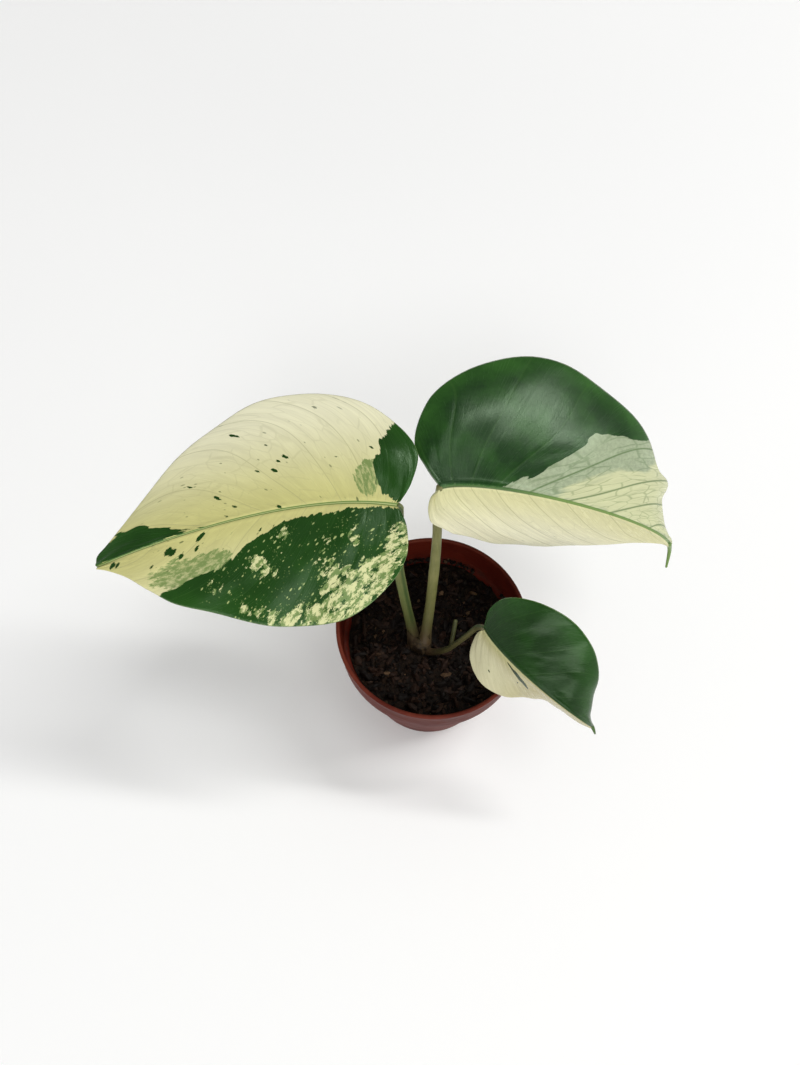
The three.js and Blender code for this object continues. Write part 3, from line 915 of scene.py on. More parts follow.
    def relief(self, grid: dict[str, Array]) -> Array:
        """Height of the upper face over the smooth blade.

        A channel over the midrib between low shoulders, shallow channels over the side veins, a slight
        swell between them, low waves of the whole blade and its bulges.
        """
        rib, out, r = grid["rib"], grid["out"], grid["r"]
        shoulders = self.shoulder * bell(out - 1.1 * rib, 0.5 * rib)
        channel = shoulders - self.channel_depth * rib * bell(out, 0.42 * rib)
        off = np.abs((grid["phase"] + 0.5) % 1 - 0.5) * grid["pitch"]
        fade = smoothstep(0.0, 0.12, r) * smoothstep(1.0, 0.85, r) * smoothstep(1.5, 4.5, grid["pitch"])
        veins = self.vein_depth * bell(off, self.vein_reach) + self.swell * np.cos(2 * np.pi * grid["phase"])
        rise = smoothstep(0, 0.35, r) * (1 - 0.7 * r ** 3)
        half_shift = 9 * (grid["share"] > 0)
        waves = self.waves * rise * layered_noise(grid["phase"] * 0.9 + 9, r * 1.6 + half_shift, 3, 5)
        bulge = self.bulge * spots(grid["flat"].reshape(-1, 2), self.bulges).reshape(waves.shape)
        return channel - veins * fade + waves + bulge

    def build(self) -> bpy.types.Object:
        """Makes the blade: an upper and a lower face that meet in a rounded margin.

        The two halves' normals are blended over the midrib. The lower face has the midrib's ridge.

        Returns:
            The leaf's object, with the fields and maps that its finish reads.
        """
        right, left = self.half_grid(Hand.RIGHT), self.half_grid(Hand.LEFT)
        grid = {key: np.concatenate([right[key][:, :0:-1], left[key]], 1) for key in left}
        crest = unit(left["normal"][:, 0] + right["normal"][:, 0])
        grid["normal"][:, self.rows] = crest
        near = bell(grid["out"], 0.5 * grid["rib"])[..., None]
        normal = unit(grid["normal"] * (1 - near) + crest[:, None] * near)
        height = self.relief(grid) + grid["form"]
        thick = self.half_thickness * np.sqrt(np.maximum(0, 1 - grid["r"] ** 60))
        rib = grid["rib"]
        ridge = self.ridge * rib * bell(grid["out"], 0.75 * rib) * smoothstep(0, 0.05, grid["w"])
        top = grid["place"] + normal * (height + thick)[..., None]
        under = grid["place"] + normal * (height - thick - ridge)[..., None]
        points, faces = closed_sheet(top, under)
        tip_points, tip_faces = self.drip(len(points))
        piece = make_piece(f"{self.name}_blade", np.concatenate([points, tip_points]), [*faces, tip_faces],
                           self.name)
        self.store(piece, grid, len(tip_points))
        piece.data.materials.append(self.finish.build())
        weld(piece)
        return piece

    def drip(self, start: int) -> tuple[Array, Array]:
        """The drip tip: a thin tapering tube along its path, or nothing where the leaf has none."""
        if not self.drip_tip:
            return np.zeros((0, 3)), np.zeros((0, 4), int)
        centre, across, second, t = tube_frames(self.drip_tip, 28)
        taper = self.drip_radius * (1 - 0.55 * t[:, None] ** 1.5)
        return tube(centre, across, second, lambda turn: taper * (1 + 0.12 * np.cos(2 * turn)), 14, start)

    def store(self, piece: bpy.types.Object, grid: dict[str, Array], extra: int) -> None:
        """Writes the maps and the fields of the two faces and of the drip tip.

        Args:
            piece: the blade's object.
            grid: fields over the blade.
            extra: count of the drip tip's vertices.
        """
        flat = grid["flat"].reshape(-1, 2)

        def all_over(upper: Array, lower: Array, rest: float) -> Array:
            """A field of the upper face, the lower face and the drip tip."""
            return np.concatenate([upper.ravel(), lower.ravel(), np.full(extra, rest)])

        def both(values: Array, rest: float = 0.0) -> Array:
            """A field that is the same on the two faces."""
            return all_over(values, values, rest)

        add_map(piece, "flat", np.stack([both(flat[:, 0], self.spine[3]), both(flat[:, 1])], -1) / 10)
        add_map(piece, "veins", np.stack([both(grid["phase"], self.vein_count), both(grid["share"])], -1))
        for key in ("margin", "pitch", "rib"):
            add_field(piece, key, both(grid[key], 1.0))
        add_field(piece, "under", all_over(np.zeros(len(flat)), np.ones(len(flat)), 0.3))
        add_field(piece, "green", both(signed_distance(flat, self.green), 3.0))
        add_field(piece, "lime", both(signed_distance(flat, self.lime)))
        add_field(piece, "mint", both((flat[:, 1] > 0) * float(self.mint)))
        add_field(piece, "splash", both(spots(flat, self.splashes)))
        add_field(piece, "marble", both(spots(flat, self.marbling)))
        add_field(piece, "fleck", both(spots(flat, self.flecks, self.fleck_stretch)))


@dataclass(frozen=True)
class StalkFinish:
    """Satin olive skin with fine lines along it, a green groove, a browner foot, and painted shade low down.
    """

    name: str
    light: Colour
    dark: Colour
    foot: Colour
    foot_patch: Colour = srgb(70, 52, 34)
    groove: Colour = srgb(40, 66, 26)
    speck: Colour = srgb(150, 156, 110)
    shaded: Colour = srgb(56, 54, 26)
    shaded_heights: tuple[float, float] = (0.07, 0.042)

    def build(self) -> bpy.types.Material:
        """Builds the material, which reads the map "skin" and the fields "groove" and "foot"."""
        n = Material(self.name)
        place = n.place()
        lines = n.noise(n.scaled(n.own_map("skin"), (46.0, 5.0, 1)), 1.0, 4, 0.6)
        patches = n.noise(place, 160.0, 4, 0.6)
        skin = n.mix(n.ramp(lines * 0.55 + patches * 0.45, 0.36, 0.66), self.dark, self.light)
        skin = n.mix(n.read("groove") * 0.85, skin, self.groove)
        specks = n.group("flecks", Vector=n.scaled(place, (900.0, 900.0, 420.0)), Share=0.12, Size=0.35)
        skin = n.mix(specks * 0.35, skin, self.speck)
        # painted shade: the skin darkens low down, near the soil, where the leaves shade it
        skin = n.mix(n.ramp(n.split(place)[2], *self.shaded_heights) * 0.75, skin, self.shaded)
        foot = n.mix(n.ramp(patches, 0.35, 0.65), self.foot, self.foot_patch)
        skin = n.mix(n.read("foot"), skin, foot)
        return n.dress(skin, n.ramp(lines, 0.2, 0.8, 0.36, 0.58), n.bump(lines, 0.06, 0.7))


@dataclass
class Petiole:
    """A leaf stalk: a round shoot with a channel along one side, widened into a sheath at its foot.

    The radius is that at the foot, the middle and the top.
    """

    name: str
    path: list[Point]
    radius: tuple[float, float, float]
    finish: StalkFinish
    channel_turn: float
    channel_depth: float = 0.16
    channel_width: float = 0.42
    sheath: float = 0.3
    sheath_reach: float = 5.0
    steps: int = 150
    sides: int = 40

    def off_channel(self, turn: Array) -> Array:
        """Angle between a direction round the stalk and its channel, 0 to half a turn."""
        return np.abs(np.angle(np.exp(1j * (turn - self.channel_turn))))

    def build(self) -> bpy.types.Object:
        """Makes the stalk.

        The radius goes from foot to middle to top, swells over the last few millimetres below the blade
        and at the foot, and dips in the channel, between low shoulders.

        Returns:
            The stalk's object, with the map and the fields that its finish reads.
        """
        centre, across, second, t = tube_frames(self.path, self.steps)
        length = arc_lengths(centre)[-1]
        from_foot, from_top = (t * length)[:, None], ((1 - t) * length)[:, None]
        swelling = self.sheath * np.exp(-(from_foot / self.sheath_reach) ** 1.5) + 0.07 * bell(from_top, 6)
        size = np.interp(t, [0, 0.5, 1], self.radius)[:, None] * (1 + swelling)
        uneven = 0.02 * np.sin(from_foot / 4.1) + 0.012 * np.sin(from_foot / 1.7 + 1)

        def profile(turn: Array) -> Array:
            """Radius round the stalk."""
            off = self.off_channel(turn)
            channel = self.channel_depth * bell(off, self.channel_width) - 0.05 * bell(off - 0.75, 0.3)
            ribs = 0.008 * np.cos(13 * turn + 2 * np.sin(from_foot / 9))
            return size * (1 + uneven - channel + ribs)

        points, quads = tube(centre, across, second, profile, self.sides)
        piece = make_piece(f"{self.name}_stalk", points, [quads], self.name)
        reach = length * np.concatenate([np.zeros(3), t, np.ones(3)])[:, None]
        reach, off = np.broadcast_arrays(reach, self.off_channel(full_turn(self.sides))[None, :])
        add_map(piece, "skin", np.stack([off / np.pi, reach / 20], -1).reshape(-1, 2))
        add_field(piece, "groove", bell(off, 0.5))
        add_field(piece, "foot", bell(reach, 7))
        piece.data.materials.append(self.finish.build())
        weld(piece)
        return piece


@dataclass(frozen=True)
class CrownFinish:
    """Reddish-brown papery skin, streaked upwards, greener at the top."""

    brown: tuple[Colour, Colour] = (srgb(36, 27, 18), srgb(68, 54, 36))
    green: tuple[Colour, Colour] = (srgb(58, 56, 30), srgb(70, 60, 40))
    green_heights: tuple[float, float] = (0.042, 0.049)

    def build(self) -> bpy.types.Material:
        """Builds the material."""
        n = Material("crown_skin")
        place = n.place()
        lines = n.noise(n.scaled(place, (900.0, 900.0, 160.0)), 1.0, 4, 0.6)
        patches = n.noise(place, 260.0, 4, 0.6)
        brown = n.mix(n.ramp(lines, 0.35, 0.65), *self.brown)
        green = n.mix(n.ramp(patches, 0.4, 0.6), *self.green)
        skin = n.mix(n.ramp(n.split(place)[2], *self.green_heights), brown, green)
        return n.dress(skin, n.ramp(lines, 0.2, 0.8, 0.5, 0.75), n.bump(lines, 0.12, 0.8), 0.2)


@dataclass(frozen=True)
class Sheath:
    """A split sheath: an open cone of thin skin round a stalk's foot, highest opposite its split.

    The foot is the middle of its lower edge, the lean the direction that it rises in, and the split the
    direction of its opening in radians.
    """

    name: str
    foot: Point
    lean: Point
    radius: float
    height: float
    split: float
    half_opening: float = 0.45
    skin: float = 0.22
    rows: int = 26
    columns: int = 48

    def build(self, finish: bpy.types.Material) -> bpy.types.Object:
        """Makes the sheath: the cone's outer face, then its inner face back to the start."""
        opening = np.linspace(self.half_opening, 2 * np.pi - self.half_opening, self.columns)[None, :]
        turn = self.split + opening
        level = np.linspace(0, 1, self.rows)[:, None]
        tall = level * self.height * (0.35 + 0.65 * np.sin(opening / 2) ** 2)
        size = self.radius * (1 - 0.28 * level) * (1 + 0.04 * np.sin(6 * turn))
        middle = np.array(self.foot) + tall[..., None] * unit(np.array(self.lean, float))
        spokes = np.stack(np.broadcast_arrays(np.cos(turn), np.sin(turn), 0.0), -1)
        outer, inner = (middle + (size - shrink)[..., None] * spokes for shrink in (0.0, self.skin))
        loop = np.concatenate([outer, inner[:, ::-1]], 1)
        faces = grid_faces(self.rows, 2 * self.columns, wrap=True)
        piece = make_piece(self.name, loop.reshape(-1, 3), [faces])
        piece.data.materials.append(finish)
        return piece


@dataclass
class Crown:
    """The short stem at the soil, with the split sheaths that wrap the feet of the stalks.

    The outline lists heights from the centre and the radius at each.
    """

    sheaths: list[Sheath]
    finish: CrownFinish = CrownFinish()
    centre: Point = (-3.5, -2.7, 39.0)
    outline: tuple[FlatPoint, ...] = ((-6.0, 2.6), (-2.0, 3.25), (1.5, 3.4), (3.7, 2.8), (5.0, 0.6))
    flatness: float = 0.82
    spin: float = -0.5
    rows: int = 60
    sides: int = 64

    def build(self) -> bpy.types.Object:
        """Makes the sheaths and the stem: a turned, slightly flattened knob with rings and low furrows."""
        heights, radii = np.array(self.outline).T
        z = np.linspace(heights[0], heights[-1], self.rows)[:, None]
        turn = full_turn(self.sides)[None, :]
        furrows = 1 + 0.05 * np.sin(5 * turn + 0.6 * z) + 0.02 * np.sin(11 * turn)
        size = np.interp(z, heights, radii) * (1 + 0.03 * np.sin(4.5 * z)) * furrows
        x, y = size * np.cos(turn), self.flatness * size * np.sin(turn)
        cos, sin = math.cos(self.spin), math.sin(self.spin)
        rings = np.array(self.centre) + np.stack([x * cos - y * sin, x * sin + y * cos, z + 0 * x], -1)
        foot, head = (np.broadcast_to(rings[end].mean(0), (1, self.sides, 3)) for end in (0, -1))
        faces = grid_faces(self.rows + 2, self.sides, wrap=True)
        points = np.concatenate([foot, rings, head]).reshape(-1, 3)
        piece = make_piece("crown", points, [faces], "stem")
        material = self.finish.build()
        piece.data.materials.append(material)
        weld(piece)
        for sheath in self.sheaths:
            sheath.build(material)
        return piece


@dataclass(frozen=True)
class SoilFinish:
    """Moist crumbly mix: near black, with brown grains."""

    dark: Colour = srgb(13, 8, 5)
    light: Colour = srgb(40, 27, 18)
    bit: Colour = srgb(72, 52, 36)

    def build(self) -> bpy.types.Material:
        """Builds the material."""
        n = Material("potting_mix")
        place = n.place()
        grains = n.noise(place, 900.0, 6, 0.7)
        patches = n.noise(place, 190.0, 4, 0.6)
        colour = n.mix(n.ramp(grains * 0.6 + patches * 0.4, 0.42, 0.66), self.dark, self.light)
        bits = n.group("flecks", Vector=n.scaled(place, (700.0, 700.0, 700.0)), Share=0.08, Size=0.5)
        colour = n.mix(bits * 0.6, colour, self.bit)
        return n.dress(colour, n.ramp(patches, 0.3, 0.7, 0.6, 0.9), n.bump(grains, 0.5, 0.9), 0.15)


@dataclass
class Soil:
    """Dark potting mix: a body that fills the pot to an uneven, crumbly top."""

    finish: SoilFinish = SoilFinish()
    top: float = 39.0
    radius: float = 26.7
    foot: float = 1.9
    foot_radius: float = 19.7
    rings: int = 150
    sides: int = 260
    seed: int = 41

    def height(self, x: Array, y: Array) -> Array:
        """Height of the top: broad humps, and lumps of a few millimetres with fine grains."""
        broad = 2.2 * layered_noise(x / 9 + 20, y / 9 + 20, 3, self.seed)
        lumps = 1.5 * np.abs(layered_noise(x / 2.2 + 7, y / 2.2 + 7, 4, self.seed + 9))
        return self.top + broad + lumps - 0.35

    def build(self) -> bpy.types.Object:
        """The body of the soil: a polar grid for its top, then its tapered side and its flat bottom."""
        away = (np.linspace(0, 1, self.rings) ** 0.7 * self.radius)[:, None]
        turn = full_turn(self.sides)[None, :]
        x, y = away * np.cos(turn), away * np.sin(turn)
        rows = [np.stack([x, y, self.height(x, y)], -1)]
        for z, size in ((self.top - 6, self.radius - 0.7), (self.foot, self.foot_radius), (self.foot, 0.0)):
            rows.append(np.stack([size * np.cos(turn), size * np.sin(turn), z + 0 * turn], -1))
        grid = np.concatenate(rows)
        faces = grid_faces(len(grid), self.sides, wrap=True)
        piece = make_piece("soil_bed", grid.reshape(-1, 3), [faces], "soil")
        piece.data.materials.append(self.finish.build())
        weld(piece)
        return piece


@dataclass(frozen=True)
class BarkFinish:
    """Bark: each chip has its own tone, from near black to reddish and light brown."""

    dark: Colour = srgb(16, 10, 7)
    brown: Colour = srgb(48, 31, 22)
    pale: Colour = srgb(104, 80, 58)

    def build(self) -> bpy.types.Material:
        """Builds the material, which reads the field "tone"."""
        n = Material("bark")
        tone = n.read("tone")
        grain = n.noise(n.scaled(n.place(), (700.0, 1500.0, 700.0)), 1.0, 4, 0.6)
        colour = n.mix(n.ramp(tone, 0.35, 0.85), self.dark, self.brown)
        colour = n.mix(n.ramp(tone, 0.965, 0.99), colour, self.pale)
        colour = n.mix(n.ramp(grain, 0.3, 0.7, 0.0, 0.5), colour, self.dark)
        return n.dress(colour, n.ramp(grain, 0.2, 0.8, 0.5, 0.85), n.bump(grain, 0.15, 0.8), 0.15)


@dataclass
class Bark:
    """Bark chips and crumbs on the soil and on the pot's ledge, and one fine root among them.

    The chips keep clear of the stem by its room. Those on the ledge are smaller and lie in heaps.
    """

    soil: Soil
    finish: BarkFinish = BarkFinish()
    crumbs: int = 1500
    ledge_crumbs: int = 420
    ledge_radius: float = 27.6
    ledge_height: float = 40.25
    ledge_size: float = 0.5
    stem: FlatPoint = (-3.2, -2.6)
    stem_room: float = 4.6
    seed: int = 41
    root: tuple[Point, ...] = ((7.9, 3.4, 40.4), (10.2, 5.2, 41.0), (13.2, 5.0, 40.6), (14.8, 3.2, 39.6))
    root_radius: float = 0.22
    root_tone: float = 0.9

    def ball(self) -> tuple[Array, Array]:
        """Points and triangles of a ball of radius 1 with 42 points."""
        work = bmesh.new()
        bmesh.ops.create_icosphere(work, subdivisions=2, radius=1.0)
        points = np.array([vertex.co[:] for vertex in work.verts])
        triangles = np.array([[vertex.index for vertex in face.verts] for face in work.faces])
        work.free()
        return points, triangles

    def places(self, rng: np.random.RandomState) -> tuple[Array, Array, Array]:
        """Where the chips lie.

        On the soil they lie evenly over the disc, as the root of an even draw does. On the ledge they lie
        where a sum of two sines of the angle is high.

        Args:
            rng: source of the draws.

        Returns:
            The two level places, and which chips are on the ledge.
        """
        away = (self.soil.radius - 1.6) * np.sqrt(rng.rand(self.crumbs))
        turn = 2 * np.pi * rng.rand(self.crumbs)
        x, y = away * np.cos(turn), away * np.sin(turn)
        clear = np.hypot(x - self.stem[0], y - self.stem[1]) > self.stem_room
        ledge = 2 * np.pi * rng.rand(self.ledge_crumbs)
        ledge = ledge[0.55 * np.sin(2 * (ledge + 2.4)) + 0.3 * np.sin(5 * ledge) > -0.1]
        rim = self.ledge_radius + 0.9 * (rng.rand(len(ledge)) - 0.75)
        x = np.concatenate([x[clear], rim * np.cos(ledge)])
        y = np.concatenate([y[clear], rim * np.sin(ledge)])
        return x, y, np.arange(len(x)) >= clear.sum()

    def build(self) -> bpy.types.Object:
        """Makes the chips in one mesh, and the root.

        Each chip starts from the same ball. Its points are pushed out or in, scaled along three axes,
        turned by a random orthonormal frame and set half sunk in the ground.

        Returns:
            The chips' object.
        """
        ball, triangles = self.ball()
        rng = np.random.RandomState(self.seed)
        x, y, on_ledge = self.places(rng)
        count = len(x)
        size = 0.28 + 1.05 * rng.rand(count) ** 3.2
        size = np.where(on_ledge, np.minimum(size, self.ledge_size), size)
        long, wide, flat = 1.5 + rng.rand(count), 0.8 + 0.4 * rng.rand(count), 0.45 + 0.4 * rng.rand(count)
        dents = 1 + 0.42 * (rng.rand(count, len(ball)) - 0.5)
        frames = np.linalg.qr(rng.randn(count, 3, 3) + np.array([0, 0, 1.2]) * np.eye(3))[0]
        scale = size[:, None] * np.stack([long, wide, flat], -1)
        shape = np.einsum("nij,nkj->nki", frames, ball[None] * dents[..., None] * scale[:, None])
        ground = np.where(on_ledge, self.ledge_height, self.soil.height(x, y))
        points = shape + np.stack([x, y, ground + 0.25 * size], -1)[:, None]
        faces = triangles[None] + (np.arange(count) * len(ball))[:, None, None]
        piece = make_piece("bark_crumbs", points.reshape(-1, 3), [faces.reshape(-1, 3)])
        piece.data.shade_flat()
        add_field(piece, "tone", np.repeat(rng.rand(count), len(ball)))
        material = self.finish.build()
        piece.data.materials.append(material)
        self.build_root(material)
        return piece

    def build_root(self, material: bpy.types.Material) -> bpy.types.Object:
        """Makes the fine root: a thin tapering tube along its path."""
        centre, across, second, t = tube_frames(self.root, 40)
        taper = (self.root_radius * (1 - 0.6 * t))[:, None]
        points, quads = tube(centre, across, second, lambda turn: taper * (1 + 0.1 * np.sin(3 * turn)), 10)
        piece = make_piece("root_fibre", points, [quads])
        add_field(piece, "tone", np.full(len(points), self.root_tone))
        piece.data.materials.append(material)
        weld(piece)
        return piece


@dataclass(frozen=True)
class PotFinish:
    """Terracotta-coloured plastic: satin, faintly speckled, with mould lines and scuffs.

    Inside, over the soil, dried soil clings to it. Heights and radii are in metres here.
    """

    body: tuple[Colour, Colour] = (srgb(70, 19, 11), srgb(88, 28, 17))
    speck: Colour = srgb(56, 20, 13)
    soiled: Colour = srgb(40, 26, 18)
    lip: Colour = srgb(120, 62, 46)
    scuff: Colour = srgb(140, 92, 74)
    lip_heights: tuple[float, float] = (0.0508, 0.0518)
    soiled_heights: tuple[float, float, float, float] = (0.0395, 0.0402, 0.038, 0.046)
    soiled_radii: tuple[float, float] = (0.0291, 0.0285)
    mould_lines: float = 5200.0

    def build(self) -> bpy.types.Material:
        """Builds the material."""
        n = Material("terracotta_plastic")
        place = n.place()
        x, y, z = n.split(place)
        clouds = n.noise(place, 60.0, 4, 0.55)
        specks = n.noise(place, 1600.0, 3, 0.6)
        colour = n.mix(n.ramp(clouds, 0.3, 0.7), *self.body)
        colour = n.mix(n.ramp(specks, 0.55, 0.75, 0.0, 0.35), colour, self.speck)
        bottom, clear, full, top = self.soiled_heights
        inside = n.ramp(n.math("SQRT", x * x + y * y), *self.soiled_radii)
        inside = inside * n.ramp(z, top, full) * n.ramp(z, bottom, clear)
        soiled = inside * n.ramp(n.noise(place, 420.0, 5, 0.65), 0.42, 0.62)
        colour = n.mix(soiled * 0.6, colour, self.soiled)
        lip = n.ramp(z, *self.lip_heights) * n.ramp(clouds, 0.35, 0.65, 0.1, 0.4)
        colour = n.mix(lip, colour, self.lip)
        scuffs = n.noise(n.scaled(place, (160.0, 160.0, 900.0)), 1.0, 4, 0.7)
        colour = n.mix(n.ramp(scuffs, 0.6, 0.72, 0.0, 0.12), colour, self.scuff)
        relief = n.math("SINE", z * self.mould_lines) * 0.12 + specks * 0.5
        return n.dress(colour, n.ramp(scuffs, 0.3, 0.7, 0.42, 0.6), n.bump(relief, 0.05, 0.6), 0.08)


@dataclass
class Pot:
    """Thin-walled nursery pot: a tapered body, a step, a collar with a rounded lip, and drain holes.

    The rim, the base and the hole circle are radii.
    """

    finish: PotFinish = PotFinish()
    height: float = 52.0
    rim: float = 30.0
    base: float = 21.0
    collar: float = 12.5
    step: float = 1.6
    wall: float = 1.0
    floor: float = 1.6
    lip: float = 0.62
    holes: int = 6
    hole_radius: float = 2.4
    hole_circle: float = 14.0
    hole_sides: int = 32
    sides: int = 192
    stretch: float = 2.5

    def profile(self) -> Array:
        """Radius and height round the section: outside up, over the lip, inside down to the middle."""
        step = self.height - self.collar
        ledge = step + 0.7
        skirt = self.rim - 0.8
        body = self.rim - 2 * self.wall - self.step + 0.5
        inner_base = self.base - self.wall
        outside = [
            (0, 0.25), (self.base - 3.2, 0.25), (self.base - 2.8, 0), (self.base - 0.9, 0),
            (self.base - 0.25, 0.2), (self.base, 0.85), (body + self.wall - 0.05, step - 1.0),
            (body + self.wall + 0.25, step - 0.42), (skirt - 0.3, step - 0.3), (skirt, step),
            (self.rim - 0.25, self.height - 1.6),
        ]
        lip = [(self.rim - self.lip * (1 - math.cos(turn)), self.height - self.lip * (1 - math.sin(turn)))
               for turn in np.linspace(0, math.pi, 11)]
        inside = [
            (self.rim - 1.25, self.height - 1.2), (skirt - self.wall, ledge + 0.45),
            (skirt - self.wall - 0.35, ledge + 0.05), (body + 0.45, ledge), (body, ledge - 0.4),
            (inner_base, self.floor + 0.8), (inner_base - 0.7, self.floor), (0, self.floor),
        ]
        return np.array(outside + lip + inside)

    def build(self) -> bpy.types.Object:
        """The pot: its section, with points added along the long stretches, turned about the axis."""
        section = self.profile()
        dense = [section[0]]
        for start, end in zip(section[:-1], section[1:]):
            count = max(1, int(np.linalg.norm(end - start) / self.stretch))
            dense += [start + (end - start) * k / count for k in range(1, count + 1)]
        dense = np.array(dense)
        radius, height = dense[:, :1], dense[:, 1:]
        turn = full_turn(self.sides)[None, :]
        points = np.stack([radius * np.cos(turn), radius * np.sin(turn), height + 0 * turn], -1)
        faces = grid_faces(len(dense), self.sides, wrap=True)
        piece = make_piece("nursery_pot", points.reshape(-1, 3), [faces], "pot")
        weld(piece)
        self.drain(piece)
        piece.data.materials.append(self.finish.build())
        return piece

    def drain(self, piece: bpy.types.Object) -> None:
        """Cuts the drain holes with one cutter that has a round peg for each, and applies the cut."""
        sides = self.hole_sides
        turn = full_turn(sides)
        points, faces = [], []
        for index, angle in enumerate(full_turn(self.holes) + np.pi / self.holes):
            x = self.hole_circle * math.cos(angle) + self.hole_radius * np.cos(turn)
            y = self.hole_circle * math.sin(angle) + self.hole_radius * np.sin(turn)
            points += [np.stack([x, y, z + 0 * turn], -1) for z in (-1.0, self.floor + 1.0)]
            first = 2 * sides * index
            faces += grid_faces(2, sides, wrap=True, start=first).tolist()
            faces.append(list(range(first, first + sides))[::-1])
            faces.append(list(range(first + sides, first + 2 * sides)))
        mesh = bpy.data.meshes.new("drain_cutter")
        mesh.from_pydata((np.concatenate(points) * MM).tolist(), [], faces)
        cutter = bpy.data.objects.new("drain_cutter", mesh)
        bpy.context.scene.collection.objects.link(cutter)
        cut = piece.modifiers.new("drain_holes", "BOOLEAN")
        cut.operation, cut.solver, cut.object = "DIFFERENCE", "EXACT", cutter
        result = bpy.data.meshes.new_from_object(piece.evaluated_get(bpy.context.evaluated_depsgraph_get()))
        piece.modifiers.clear()
        piece.data = result
        piece.data.name = "nursery_pot"
        bpy.data.objects.remove(cutter)


